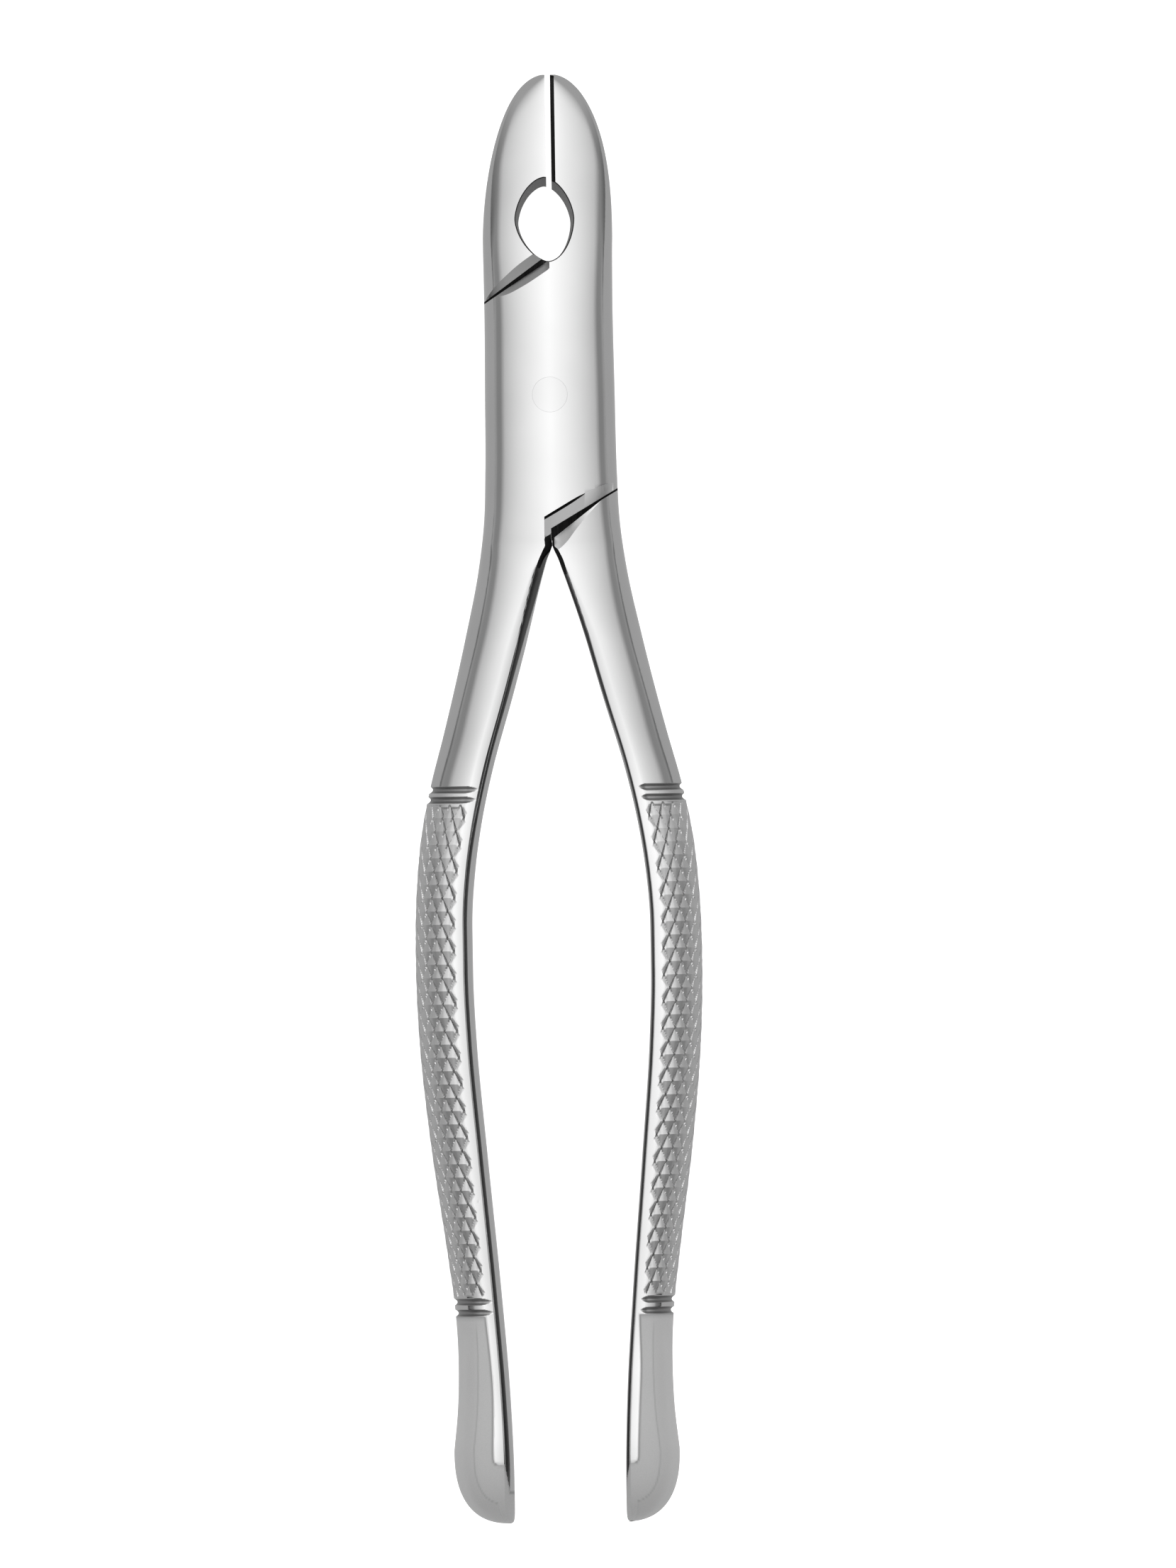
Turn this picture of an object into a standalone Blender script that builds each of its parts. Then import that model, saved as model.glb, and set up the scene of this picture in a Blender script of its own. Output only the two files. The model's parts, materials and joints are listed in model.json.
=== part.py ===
"""Dental extraction forceps: two crossed steel halves on one flush pivot rivet.

The forceps lie flat, front face up. X runs across them, Y along them with the beak tips at
+Y, and Z up, with Z = 0 at the surface they rest on. The front half is the right beak, the
front cheek of the joint and the left handle; the rear half is the left beak, the rear cheek
and the right handle. Every driving dimension below is in millimetres.
"""

import math

import bmesh
import bpy
import numpy as np
from mathutils import Vector

MM = 0.001

# overall
TIP_Y = 89.0
END_Y = -89.0
PIVOT_Y = 49.6
JOINT_Z = 8.28            # height of the joint's mid plane, where the two cheeks lap
CROTCH_Y = 31.7           # where the two handles part

# plan outline, as (y, half width) stations for a smooth curve
OUTLINE = [
    (70.0, 7.97), (60.0, 7.89), (50.0, 7.98), (40.0, 8.10), (34.0, 8.35), (28.0, 9.14),
    (20.0, 10.82), (8.0, 13.74), (2.0, 15.36), (-4.0, 16.62), (-11.0, 17.36), (-20.0, 17.62),
    (-30.0, 17.30), (-42.0, 16.16), (-56.0, 14.27), (-63.0, 13.42), (-69.0, 13.16),
    (-75.0, 13.34), (-80.0, 13.86),
]
INNER_EDGE = [
    (31.7, 0.0), (28.0, 1.06), (12.0, 5.68), (4.0, 8.02), (-1.0, 9.20), (-8.0, 10.36),
    (-16.0, 10.92), (-21.0, 10.92), (-30.0, 10.60), (-44.0, 9.48), (-60.0, 8.11), (-72.0, 7.25),
    (-82.0, 6.88), (-89.0, 6.85),
]
INNER_EDGE_SKEW = 0.35    # the left handle is ground this much wider, the right one narrower
BEAK_ROOT_Y = 68.0        # the beak outline is a superellipse from here to the tip
BEAK_HALF_WIDTH = 7.97
BEAK_POWER = 2.15
BEAK_LEAN = 0.40          # both beaks lean this far to the right at the tip
HANDLE_END_Y = -80.0      # the handle end is a superellipse from here down
HANDLE_END_POWER = 2.5

# side profile, as (y, half depth) and (y, drop of the centre line below the joint plane)
HALF_DEPTH = [
    (89.0, 0.85), (85.0, 1.60), (80.0, 2.45), (74.0, 3.40), (66.0, 4.50), (58.0, 5.00),
    (36.0, 5.00), (28.0, 4.85), (18.0, 4.35), (9.0, 3.85), (2.0, 3.65), (-8.0, 4.40),
    (-20.0, 4.90), (-30.0, 5.00), (-50.0, 4.75), (-63.0, 4.55), (-72.0, 4.90), (-80.0, 5.40),
    (-89.0, 5.40),
]
BEND_START_Y = 58.0
BEND_DROP = 6.0           # the tips curve this far down, away from the front face
HANDLE_DROP = 3.2         # the handle ends lie this far below the joint plane

# cross sections
OUTER_POWER = 2.1         # superellipse power of the outer, rounded side
CORNER_WIDTH = {-1: 2.0, 1: 1.2}     # width of the inner corner rounding, left and right
CORNER_DEPTH_SHARE = 0.5
CORNER_RAMP = 14.0
ARC_SEGMENTS = 20
CORNER_SEGMENTS = 3

# grip
KNURL_TOP_Y = -1.0
KNURL_PITCH = 1.65        # half of a pyramid's length along the handle
KNURL_ROWS = 36
KNURL_DEPTH = 0.35
GROOVES_Y = [1.25, 0.0, -61.65, -63.0]
GROOVE_HALF_WIDTH = 0.42
GROOVE_DEPTH = 0.38

# lap joint
SEAM_GAP = 0.3
UPPER_SEAM_RADIUS = 13.83     # each seam is tangent to a circle round the pivot, so that
UPPER_SEAM_ANGLE = 33.2       # the halves open freely and stop each other when closed
LOWER_SEAM_RADIUS = 14.23
LOWER_SEAM_ANGLE = 30.4
UPPER_SEAM_INNER_X = -0.1
LOWER_SEAM_INNER_X = -0.13
SEAM_OUTER_X = 7.6            # near the outline, where the seams' relief runs out
UPPER_SEAM_RELIEF = 0.25      # extra gap at the inner end of each seam
LOWER_SEAM_RELIEF = 0.70
BEAK_GAP = (-0.03, 0.80)      # the slot between the closed beaks

# bevels filed along the seams: width in plan, depth below the crest, how far past the seam
CHEEK_BEVEL = (1.5, 1.7)
ROOT_BEVEL = (1.3, 1.6)
BEVEL_PAST_UPPER = 0.35
BEVEL_PAST_LOWER = 0.65

# crown hole, an oval whose top leans with the curving beaks; its centre is on the joint plane
HOLE_CENTRE = (-0.33, 71.05)
HOLE_HALF_WIDTH = 3.58
HOLE_HALF_LENGTH = 5.05
HOLE_POWER = 1.7
HOLE_TILT = 10.0
HOLE_SEGMENTS = 48

# pivot rivet
RIVET_HEAD_RADIUS = 2.15
RIVET_SHAFT_RADIUS = 1.8
RIVET_HEAD_DEPTH = 0.5
RIVET_HALF_LENGTH = 4.9
RIVET_CLEARANCE = 0.05
ROUND_SEGMENTS = 64

FAR = 30.0                # beyond the object in every direction


def smooth_curve(stations):
    """A smooth curve through (position, value) stations: cubic pieces with averaged slopes."""
    points = sorted(stations)
    at = np.array([p[0] for p in points])
    value = np.array([p[1] for p in points])
    run = np.diff(at)
    slope = np.diff(value) / run
    tangent = np.empty(len(at))
    tangent[0] = slope[0]
    tangent[-1] = slope[-1]
    tangent[1:-1] = (slope[:-1] * run[1:] + slope[1:] * run[:-1]) / (run[1:] + run[:-1])
    tangent[1:-1][slope[:-1] * slope[1:] <= 0] = 0.0

    def curve(y):
        y = min(max(y, at[0]), at[-1])
        i = min(int(np.searchsorted(at, y, side="right")) - 1, len(run) - 1)
        t = (y - at[i]) / run[i]
        return float(
            value[i] * (2 * t**3 - 3 * t**2 + 1)
            + value[i + 1] * (3 * t**2 - 2 * t**3)
            + run[i] * tangent[i] * (t**3 - 2 * t**2 + t)
            + run[i] * tangent[i + 1] * (t**3 - t**2)
        )

    return curve


outline_curve = smooth_curve(OUTLINE)
inner_curve = smooth_curve(INNER_EDGE)
depth_curve = smooth_curve(HALF_DEPTH)


def smoothstep(t):
    t = min(max(t, 0.0), 1.0)
    return t * t * (3 - 2 * t)


def end_share(y):
    """How much of its full width and depth a handle still has at y: 1 until its rounded end."""
    t = min(max((HANDLE_END_Y - y) / (HANDLE_END_Y - END_Y), 0.0), 1.0)
    return (1 - t**HANDLE_END_POWER) ** (1 / HANDLE_END_POWER)


def outer_half_width(y):
    if y > BEAK_ROOT_Y:
        t = (y - BEAK_ROOT_Y) / (TIP_Y + 0.1 - BEAK_ROOT_Y)
        return BEAK_HALF_WIDTH * (1 - t**BEAK_POWER) ** (1 / BEAK_POWER)
    if y < HANDLE_END_Y:
        inner = inner_curve(y)
        return inner + (outline_curve(HANDLE_END_Y) - inner) * end_share(y)
    return outline_curve(y)


def middle_x(y):
    """The beaks' shared middle line, which leans a little to the right."""
    return BEAK_LEAN * smoothstep((y - 66.0) / 18.0)


def half_depth(y):
    return depth_curve(y) * end_share(y)


def centre_height(y):
    """Height of the side profile's centre line: beaks curve down, handles drop gently."""
    if y > BEND_START_Y:
        return JOINT_Z - BEND_DROP * ((y - BEND_START_Y) / (TIP_Y - BEND_START_Y)) ** 2
    if y < CROTCH_Y:
        return JOINT_Z - HANDLE_DROP * ((CROTCH_Y - y) / (CROTCH_Y - END_Y)) ** 1.5
    return JOINT_Z


def inner_x(y, side):
    """Distance of a handle's inner edge from the middle line."""
    skew = INNER_EDGE_SKEW * smoothstep((CROTCH_Y - y) / CORNER_RAMP)
    turn_in = 0.9 * (1 - end_share(y)) ** 4
    return inner_curve(y) + side * skew + turn_in


def knurl_height(row, column):
    """0 on a pyramid's point and below 0 in the grooves between; it fades to the smooth band."""
    border = min(column, ARC_SEGMENTS - column)
    if border == 0 or row in (0, KNURL_ROWS):
        return 0.0
    return 0.0 if (row + column) % 2 else -KNURL_DEPTH


def ring_offset(y, column):
    """How far a groove cuts into the outer side at this ring."""
    fade = smoothstep((min(column, ARC_SEGMENTS - column) - 0.5) / 1.5)
    return -GROOVE_DEPTH * fade * any(abs(y - centre) < 0.01 for centre in GROOVES_Y)


def outer_arc(y, side, crest_x, half_width, row=None):
    """Points (x, z) of the outer side of a section, from its top crest to its bottom crest."""
    depth = half_depth(y)
    middle = centre_height(y)
    fine = np.linspace(math.pi / 2, -math.pi / 2, 16 * ARC_SEGMENTS + 1)
    power = 2 / OUTER_POWER
    x = half_width * np.abs(np.cos(fine)) ** power
    z = depth * np.sign(np.sin(fine)) * np.abs(np.sin(fine)) ** power
    x[0] = x[-1] = 0.0
    length = np.concatenate([[0.0], np.cumsum(np.hypot(np.diff(x), np.diff(z)))])
    wanted = np.linspace(0.0, length[-1], ARC_SEGMENTS + 1)
    x = np.interp(wanted, length, x)
    z = np.interp(wanted, length, z)
    out = np.stack([-np.gradient(z), np.gradient(x)], axis=1)
    out /= np.linalg.norm(out, axis=1)[:, None]
    points = []
    for column in range(ARC_SEGMENTS + 1):
        lift = knurl_height(row, column) if row is not None else ring_offset(y, column)
        px = x[column] + lift * out[column, 0]
        pz = z[column] + lift * out[column, 1]
        points.append((side * (crest_x + px), middle + pz))
    return points


def inner_wall(y, side):
    """Points (x, z) of a handle's inner side, between its bottom crest and its top crest."""
    edge, width, depth = handle_sizes(y, side)
    corner_depth = CORNER_DEPTH_SHARE * depth
    middle = centre_height(y)
    corner = []
    for k in range(1, CORNER_SEGMENTS + 1):
        turn = math.pi / 2 * k / CORNER_SEGMENTS
        corner.append((
            side * (edge + width * (1 - math.sin(turn))),
            depth - corner_depth * (1 - math.cos(turn)),
        ))
    bottom = [(x, middle - z) for x, z in corner]
    top = [(x, middle + z) for x, z in reversed(corner)]
    return bottom + top


def handle_sizes(y, side):
    """Inner edge, inner corner width and half depth of a handle's section."""
    edge = inner_x(y, side)
    ramp = smoothstep((CROTCH_Y - y) / CORNER_RAMP)
    width = min(CORNER_WIDTH[side] * ramp, 0.4 * (outer_half_width(y) - edge))
    return edge, width, half_depth(y)


def core_ring(y):
    """A full section through the beaks or the joint: the left arc and the right arc."""
    middle = middle_x(y)
    width = outer_half_width(y)
    return {side: [(x + middle, z) for x, z in outer_arc(y, side, 0.0, width)]
            for side in (-1, 1)}


def handle_ring(y, row=None):
    """Sections through both handles: each an outer arc and an inner wall."""
    ring = {}
    for side in (-1, 1):
        edge, corner, _ = handle_sizes(y, side)
        crest = edge + corner
        arc = outer_arc(y, side, crest, outer_half_width(y) - crest, row)
        ring[side] = (arc, inner_wall(y, side))
    return ring


def beak_stations():
    """Section places from the tips to the crotch, closer together where the outline turns."""
    turns = [84, 78, 71, 63, 54, 44, 34, 23, 12]
    reach = TIP_Y + 0.1 - BEAK_ROOT_Y
    places = [BEAK_ROOT_Y + reach * math.sin(math.radians(t)) ** (2 / BEAK_POWER) for t in turns]
    places[0] = TIP_Y
    return places + [68, 65, 62, 58, 54, 50, 46, 42, 38, 35, 33]


def handle_stations():
    """Section places down the handles as (y, knurl row or None)."""
    groove = []
    for centre in GROOVES_Y:
        groove += [centre + GROOVE_HALF_WIDTH, centre, centre - GROOVE_HALF_WIDTH]
    plain = [30, 28, 25, 22, 18, 14, 10, 6, 3, -60.85, -64.5, -67, -70, -73, -76, -78.5, -80]
    reach = HANDLE_END_Y - END_Y
    ends = [HANDLE_END_Y - reach * t for t in (0.25, 0.45, 0.62, 0.76, 0.87, 0.94, 0.98, 0.999)]
    rows = [(KNURL_TOP_Y - KNURL_PITCH * r, r) for r in range(KNURL_ROWS + 1)]
    stations = [(y, None) for y in plain + groove + ends] + rows
    return sorted(stations, key=lambda s: -s[0])


def vertices(bm, y, points):
    return [bm.verts.new((x * MM, y * MM, z * MM)) for x, z in points]


def join(bm, first, second, knurled=False, row=0):
    """Faces between two strips of vertices, split so that knurl grooves run corner to corner."""
    for i in range(len(first) - 1):
        a, b, c, d = first[i], first[i + 1], second[i + 1], second[i]
        if knurled and (row + i) % 2:
            bm.faces.new((b, c, d))
            bm.faces.new((b, d, a))
        else:
            bm.faces.new((a, b, c))
            bm.faces.new((a, c, d))


def uncut_body():
    """Beaks, joint and both handles as one closed mesh, before the halves are parted."""
    bm = bmesh.new()
    previous = None
    for y in beak_stations():
        ring = core_ring(y)
        left = vertices(bm, y, ring[-1])
        right = [left[0]] + vertices(bm, y, ring[1][1:-1]) + [left[-1]]
        if previous is None:
            bm.faces.new(left + right[-2:0:-1])
        else:
            join(bm, previous[-1], left)
            join(bm, previous[1], right)
        previous = {-1: left, 1: right}

    crotch = core_ring(CROTCH_Y)
    left = vertices(bm, CROTCH_Y, crotch[-1])
    right = [left[0]] + vertices(bm, CROTCH_Y, crotch[1][1:-1]) + [left[-1]]
    join(bm, previous[-1], left)
    join(bm, previous[1], right)
    wall = vertices(bm, CROTCH_Y, inner_wall(CROTCH_Y, 1))
    previous = {
        -1: (left, [left[-1]] + wall + [left[0]]),
        1: (right, [right[-1]] + wall + [right[0]]),
    }
    row_before = None
    for y, row in handle_stations():
        ring = handle_ring(y, row)
        for side in (-1, 1):
            arc = vertices(bm, y, ring[side][0])
            wall = [arc[-1]] + vertices(bm, y, ring[side][1]) + [arc[0]]
            knurled = row is not None and row_before is not None
            join(bm, previous[side][0], arc, knurled, row_before or 0)
            join(bm, previous[side][1], wall)
            previous[side] = (arc, wall)
        row_before = row
    for side in (-1, 1):
        arc, wall = previous[side]
        bm.faces.new(arc + wall[1:-1])
    bmesh.ops.recalc_face_normals(bm, faces=bm.faces)
    return mesh_from(bm, "uncut_body")


def mesh_from(bm, name):
    mesh = bpy.data.meshes.new(name)
    bm.to_mesh(mesh)
    bm.free()
    return mesh


def add_object(name, mesh, material=None):
    obj = bpy.data.objects.new(name, mesh)
    bpy.context.scene.collection.objects.link(obj)
    if material:
        mesh.materials.append(material)
    return obj


def prism(name, outline, low, high):
    """A cutter: an outline in plan, extruded from one height to another."""
    bm = bmesh.new()
    floor = [bm.verts.new((x * MM, y * MM, low * MM)) for x, y in outline]
    roof = [bm.verts.new((x * MM, y * MM, high * MM)) for x, y in outline]
    bm.faces.new(floor)
    bm.faces.new(roof[::-1])
    for i in range(len(outline)):
        j = (i + 1) % len(outline)
        bm.faces.new((floor[i], roof[i], roof[j], floor[j]))
    bmesh.ops.recalc_face_normals(bm, faces=bm.faces)
    return as_cutter(add_object(name, mesh_from(bm, name)))


def as_cutter(obj):
    obj.hide_render = True
    obj.display_type = "WIRE"
    return obj


def seam_y(x, upper, offset, mirrored):
    """Height in plan of a seam line at x, moved outward from the pivot by offset."""
    angle = math.radians(UPPER_SEAM_ANGLE if upper else LOWER_SEAM_ANGLE)
    radius = (UPPER_SEAM_RADIUS if upper else LOWER_SEAM_RADIUS) + offset
    across = -x if mirrored else x
    away = radius / math.cos(angle)
    if upper:
        return PIVOT_Y + away + across * math.tan(angle)
    return PIVOT_Y - away + across * math.tan(angle)


def other_beak(gap_x, offset, mirrored):
    """Plan of the beak that belongs to the other half, above the upper seam."""
    sign = 1 if mirrored else -1
    inner = UPPER_SEAM_INNER_X
    edge = sign * 12.0
    return [
        (gap_x, TIP_Y + 5), (gap_x, HOLE_CENTRE[1]), (inner, HOLE_CENTRE[1] - 1),
        (inner, seam_y(inner, True, offset, mirrored)),
        (edge, seam_y(edge, True, offset, mirrored)), (edge, TIP_Y + 5),
    ]


def other_handle(split_x, offset, mirrored):
    """Plan of the handle that belongs to the other half, below the lower seam."""
    sign = -1 if mirrored else 1
    edge = sign * 12.0
    top = seam_y(edge, False, offset, mirrored)
    return [
        (split_x, END_Y - 5), (split_x, seam_y(split_x, False, offset, mirrored)),
        (edge, top), (sign * FAR, top), (sign * FAR, END_Y - 5),
    ]


def cheek_pocket(offset, mirrored):
    """Plan of the pocket that the other half's cheek turns in, with relief at its inner ends."""
    sign = 1 if mirrored else -1
    edge = sign * 12.0
    foot = sign * SEAM_OUTER_X
    upper = UPPER_SEAM_INNER_X
    lower = LOWER_SEAM_INNER_X
    return [
        (upper, seam_y(upper, True, offset, not mirrored) + UPPER_SEAM_RELIEF),
        (-foot, seam_y(-foot, True, offset, not mirrored)),
        (-edge, seam_y(-edge, True, offset, not mirrored)),
        (-edge, CROTCH_Y - 2), (lower, CROTCH_Y - 2),
        (lower, seam_y(lower, False, offset, not mirrored) - LOWER_SEAM_RELIEF),
        (foot, seam_y(foot, False, offset, not mirrored)),
        (edge, seam_y(edge, False, offset, not mirrored)),
        (edge, HOLE_CENTRE[1]), (upper, HOLE_CENTRE[1]),
    ]


def seam_bevel(name, upper, on_cheek, layer):
    """A wedge that files one lip of a seam. layer is 1 for the front seams, -1 for the rear."""
    mirrored = layer < 0
    side = (-1 if upper else 1) * layer
    past = BEVEL_PAST_UPPER if upper else BEVEL_PAST_LOWER
    inner = UPPER_SEAM_INNER_X if upper else LOWER_SEAM_INNER_X
    start = inner - side * past
    width, depth = CHEEK_BEVEL if on_cheek else ROOT_BEVEL
    angle = math.radians(UPPER_SEAM_ANGLE if upper else LOWER_SEAM_ANGLE)
    inner_y = seam_y(inner, upper, 0.0, mirrored)
    crest = centre_height(inner_y) + layer * half_depth(inner_y)
    inward = -1 if upper else 1
    if not on_cheek:
        inward = -inward
    step = inward * width / math.cos(angle)
    section = [(-0.4, -1.4), (3.0, 2.0), (-0.4, 2.0)]
    bm = bmesh.new()
    loops = []
    for x in (start, side * 12.0):
        y = seam_y(x, upper, 0.0, mirrored)
        loops.append([
            bm.verts.new((x * MM, (y + step * s) * MM, (crest + layer * depth * t) * MM))
            for s, t in section
        ])
    bm.faces.new(loops[0])
    bm.faces.new(loops[1])
    for k in range(3):
        j = (k + 1) % 3
        bm.faces.new((loops[0][k], loops[0][j], loops[1][j], loops[1][k]))
    bmesh.ops.recalc_face_normals(bm, faces=bm.faces)
    return as_cutter(add_object(name, mesh_from(bm, name)))


def bevel_cutters(name, layer):
    """Bevels of one half: both lips of its own cheek, and its roots in the other layer."""
    return [
        seam_bevel(name + "_cheek_upper_bevel", True, True, layer),
        seam_bevel(name + "_cheek_lower_bevel", False, True, layer),
        seam_bevel(name + "_beak_root_bevel", True, False, -layer),
        seam_bevel(name + "_handle_root_bevel", False, False, -layer),
    ]


def crown_hole_cutter():
    """The oval hole between the beaks, leaning with them."""
    shear = math.tan(math.radians(HOLE_TILT))
    power = 2 / HOLE_POWER
    bm = bmesh.new()
    loops = []
    for z in (-FAR, FAR):
        loop = []
        for k in range(HOLE_SEGMENTS):
            turn = 2 * math.pi * (k + 0.5) / HOLE_SEGMENTS
            c, s = math.cos(turn), math.sin(turn)
            x = HOLE_CENTRE[0] + HOLE_HALF_WIDTH * math.copysign(abs(c) ** power, c)
            y = HOLE_CENTRE[1] + HOLE_HALF_LENGTH * math.copysign(abs(s) ** power, s)
            y += z * shear * (1 + s) / 2
            loop.append(bm.verts.new((x * MM, y * MM, (JOINT_Z + z) * MM)))
        loops.append(loop)
    bm.faces.new(loops[0])
    bm.faces.new(loops[1])
    for k in range(HOLE_SEGMENTS):
        j = (k + 1) % HOLE_SEGMENTS
        bm.faces.new((loops[0][k], loops[0][j], loops[1][j], loops[1][k]))
    bmesh.ops.recalc_face_normals(bm, faces=bm.faces)
    return as_cutter(add_object("crown_hole_cutter", mesh_from(bm, "crown_hole")))


def turned(profile):
    """A solid of revolution about the pivot axis from an (r, z) profile, ends on the axis."""
    bm = bmesh.new()
    loops = []
    for radius, z in profile:
        loop = []
        for k in range(ROUND_SEGMENTS):
            turn = 2 * math.pi * k / ROUND_SEGMENTS
            loop.append(bm.verts.new((
                radius * math.cos(turn) * MM, radius * math.sin(turn) * MM, z * MM,
            )))
        loops.append(loop)
    bm.faces.new(loops[0])
    bm.faces.new(loops[-1])
    for below, above in zip(loops, loops[1:]):
        for k in range(ROUND_SEGMENTS):
            j = (k + 1) % ROUND_SEGMENTS
            bm.faces.new((below[k], below[j], above[j], above[k]))
    bmesh.ops.recalc_face_normals(bm, faces=bm.faces)
    return bm


def rivet_profile(grow, half_length):
    """The rivet is a shaft with a shallow countersunk head at each end."""
    head = RIVET_HEAD_RADIUS + grow
    shaft = RIVET_SHAFT_RADIUS + grow
    neck = RIVET_HALF_LENGTH - RIVET_HEAD_DEPTH - (RIVET_HEAD_RADIUS - RIVET_SHAFT_RADIUS)
    lip = RIVET_HALF_LENGTH - RIVET_HEAD_DEPTH
    return [
        (head, -half_length), (head, -lip), (shaft, -neck),
        (shaft, neck), (head, lip), (head, half_length),
    ]


def steel(name, colour, roughness):
    material = bpy.data.materials.new(name)
    material.use_nodes = True
    shader = material.node_tree.nodes["Principled BSDF"]
    shader.inputs["Base Color"].default_value = (*colour, 1.0)
    shader.inputs["Metallic"].default_value = 1.0
    shader.inputs["Roughness"].default_value = roughness
    return material


def cut(obj, cutters):
    for cutter in cutters:
        modifier = obj.modifiers.new("cut_" + cutter.name, "BOOLEAN")
        modifier.operation = "DIFFERENCE"
        modifier.solver = "EXACT"
        modifier.object = cutter


def lap_cutters(name, mirrored):
    """What parts one half from the uncut body: the front half, or mirrored the rear half."""
    half_gap = SEAM_GAP / 2
    beak_edge = BEAK_GAP[0] if mirrored else BEAK_GAP[1]
    split_x = LOWER_SEAM_INNER_X + (half_gap if mirrored else -half_gap)
    beak = prism(name + "_beak_cutter", other_beak(beak_edge, -half_gap, mirrored),
                 -FAR, FAR)
    handle = prism(name + "_handle_cutter", other_handle(split_x, -half_gap, mirrored),
                   -FAR, FAR)
    if mirrored:
        low, high = JOINT_Z - half_gap, JOINT_Z + FAR
    else:
        low, high = JOINT_Z - FAR, JOINT_Z + half_gap
    pocket = prism(name + "_pocket_cutter", cheek_pocket(half_gap, mirrored), low, high)
    return [beak, handle, pocket]


def build():
    for obj in list(bpy.data.objects):
        bpy.data.objects.remove(obj)
    polished = steel("polished_steel", (0.68, 0.68, 0.68), 0.16)
    rivet_steel = steel("rivet_steel", (0.70, 0.70, 0.69), 0.20)
    pivot = Vector((0.0, PIVOT_Y * MM, JOINT_Z * MM))

    body = uncut_body()
    hole = crown_hole_cutter()
    bore_mesh = mesh_from(turned(rivet_profile(RIVET_CLEARANCE, RIVET_HALF_LENGTH + 2)), "bore")
    bore = as_cutter(add_object("bore_cutter", bore_mesh))
    bore.location = pivot

    front = add_object("front_half", body, polished)
    cut(front, lap_cutters("front", False) + [hole, bore] + bevel_cutters("front", 1))
    rear = add_object("rear_half", body.copy())
    cut(rear, lap_cutters("rear", True) + [hole, bore] + bevel_cutters("rear", -1))

    rivet_mesh = mesh_from(turned(rivet_profile(0.0, RIVET_HALF_LENGTH)), "pivot_rivet")
    rivet_mesh.shade_smooth()
    rivet_mesh.set_sharp_from_angle(angle=math.radians(30))
    rivet = add_object("pivot_rivet", rivet_mesh, rivet_steel)
    rivet.location = pivot


build()
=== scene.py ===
"""Looks of the dental extraction forceps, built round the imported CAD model.

Each half is lofted again at a fine pitch from the CAD part's outline and side profile, with
small changes near the crotch and its own knurled grip, ring grooves and filed seams, and
stands for the CAD node. Sizes are in millimetres; X runs across, Y along with the tips at
+Y, Z up.
"""

import json
import math
from collections import namedtuple

import bmesh
import bpy
import numpy as np
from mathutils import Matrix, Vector


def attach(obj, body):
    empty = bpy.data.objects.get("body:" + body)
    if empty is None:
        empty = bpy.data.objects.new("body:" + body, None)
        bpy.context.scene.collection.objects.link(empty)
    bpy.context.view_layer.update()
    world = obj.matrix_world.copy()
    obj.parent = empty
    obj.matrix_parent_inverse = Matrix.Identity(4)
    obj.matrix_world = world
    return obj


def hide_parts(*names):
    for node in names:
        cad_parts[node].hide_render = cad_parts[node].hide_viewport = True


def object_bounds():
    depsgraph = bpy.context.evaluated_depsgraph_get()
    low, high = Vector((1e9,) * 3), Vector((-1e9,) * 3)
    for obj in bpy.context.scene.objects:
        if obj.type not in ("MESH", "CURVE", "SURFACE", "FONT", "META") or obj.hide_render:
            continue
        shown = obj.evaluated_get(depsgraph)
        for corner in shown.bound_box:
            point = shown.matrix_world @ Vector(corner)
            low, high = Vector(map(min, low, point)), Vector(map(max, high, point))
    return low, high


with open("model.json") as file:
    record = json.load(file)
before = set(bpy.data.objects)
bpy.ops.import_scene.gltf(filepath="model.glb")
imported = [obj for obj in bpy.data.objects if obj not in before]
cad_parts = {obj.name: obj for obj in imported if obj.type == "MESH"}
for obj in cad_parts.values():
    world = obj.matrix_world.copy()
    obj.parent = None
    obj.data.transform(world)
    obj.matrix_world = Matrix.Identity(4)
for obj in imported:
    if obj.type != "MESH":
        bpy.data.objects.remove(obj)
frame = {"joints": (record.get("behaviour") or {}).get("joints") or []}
CAD_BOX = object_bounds()

MM = 0.001
PIVOT_X, PIVOT_Y, JOINT_Z = (value / MM for value in frame["joints"][0]["pos_m"])
TIP_Y = CAD_BOX[1].y / MM
END_Y = CAD_BOX[0].y / MM

# plan outline, as (y, half width) stations for a smooth curve
OUTLINE = [
    (70.0, 7.97), (60.0, 7.89), (50.0, 7.98), (40.0, 8.10), (34.0, 8.35), (28.0, 9.14),
    (20.0, 10.82), (8.0, 13.74), (2.0, 15.36), (-4.0, 16.62), (-11.0, 17.36), (-20.0, 17.62),
    (-30.0, 17.30), (-42.0, 16.16), (-56.0, 14.27), (-63.0, 13.42), (-69.0, 13.16),
    (-75.0, 13.34), (-80.0, 13.86),
]
INNER_EDGE = [
    (31.1, 0.0), (30.7, 0.14), (29.5, 0.66), (28.0, 1.14), (12.0, 5.68), (4.0, 8.02),
    (-1.0, 9.20), (-8.0, 10.36), (-16.0, 10.92), (-21.0, 10.92), (-30.0, 10.60),
    (-44.0, 9.48), (-60.0, 8.11), (-72.0, 7.25), (-82.0, 6.88), (-89.0, 6.85),
]
INNER_EDGE_SKEW = 0.35  # the left inner edge is this much nearer the middle, the right further
INNER_EDGE_TURN_IN = 0.9  # how far it bends away from the middle at the rounded end
CROTCH_Y = 31.7
BEAK_ROOT_Y = 68.0
BEAK_HALF_WIDTH = 7.97
BEAK_POWER = 2.15
BEAK_LEAN = 0.40  # how far right the beaks' middle line comes to lie
BEAK_LEAN_FROM, BEAK_LEAN_OVER = 66.0, 18.0
HANDLE_END_Y = -80.0
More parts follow.
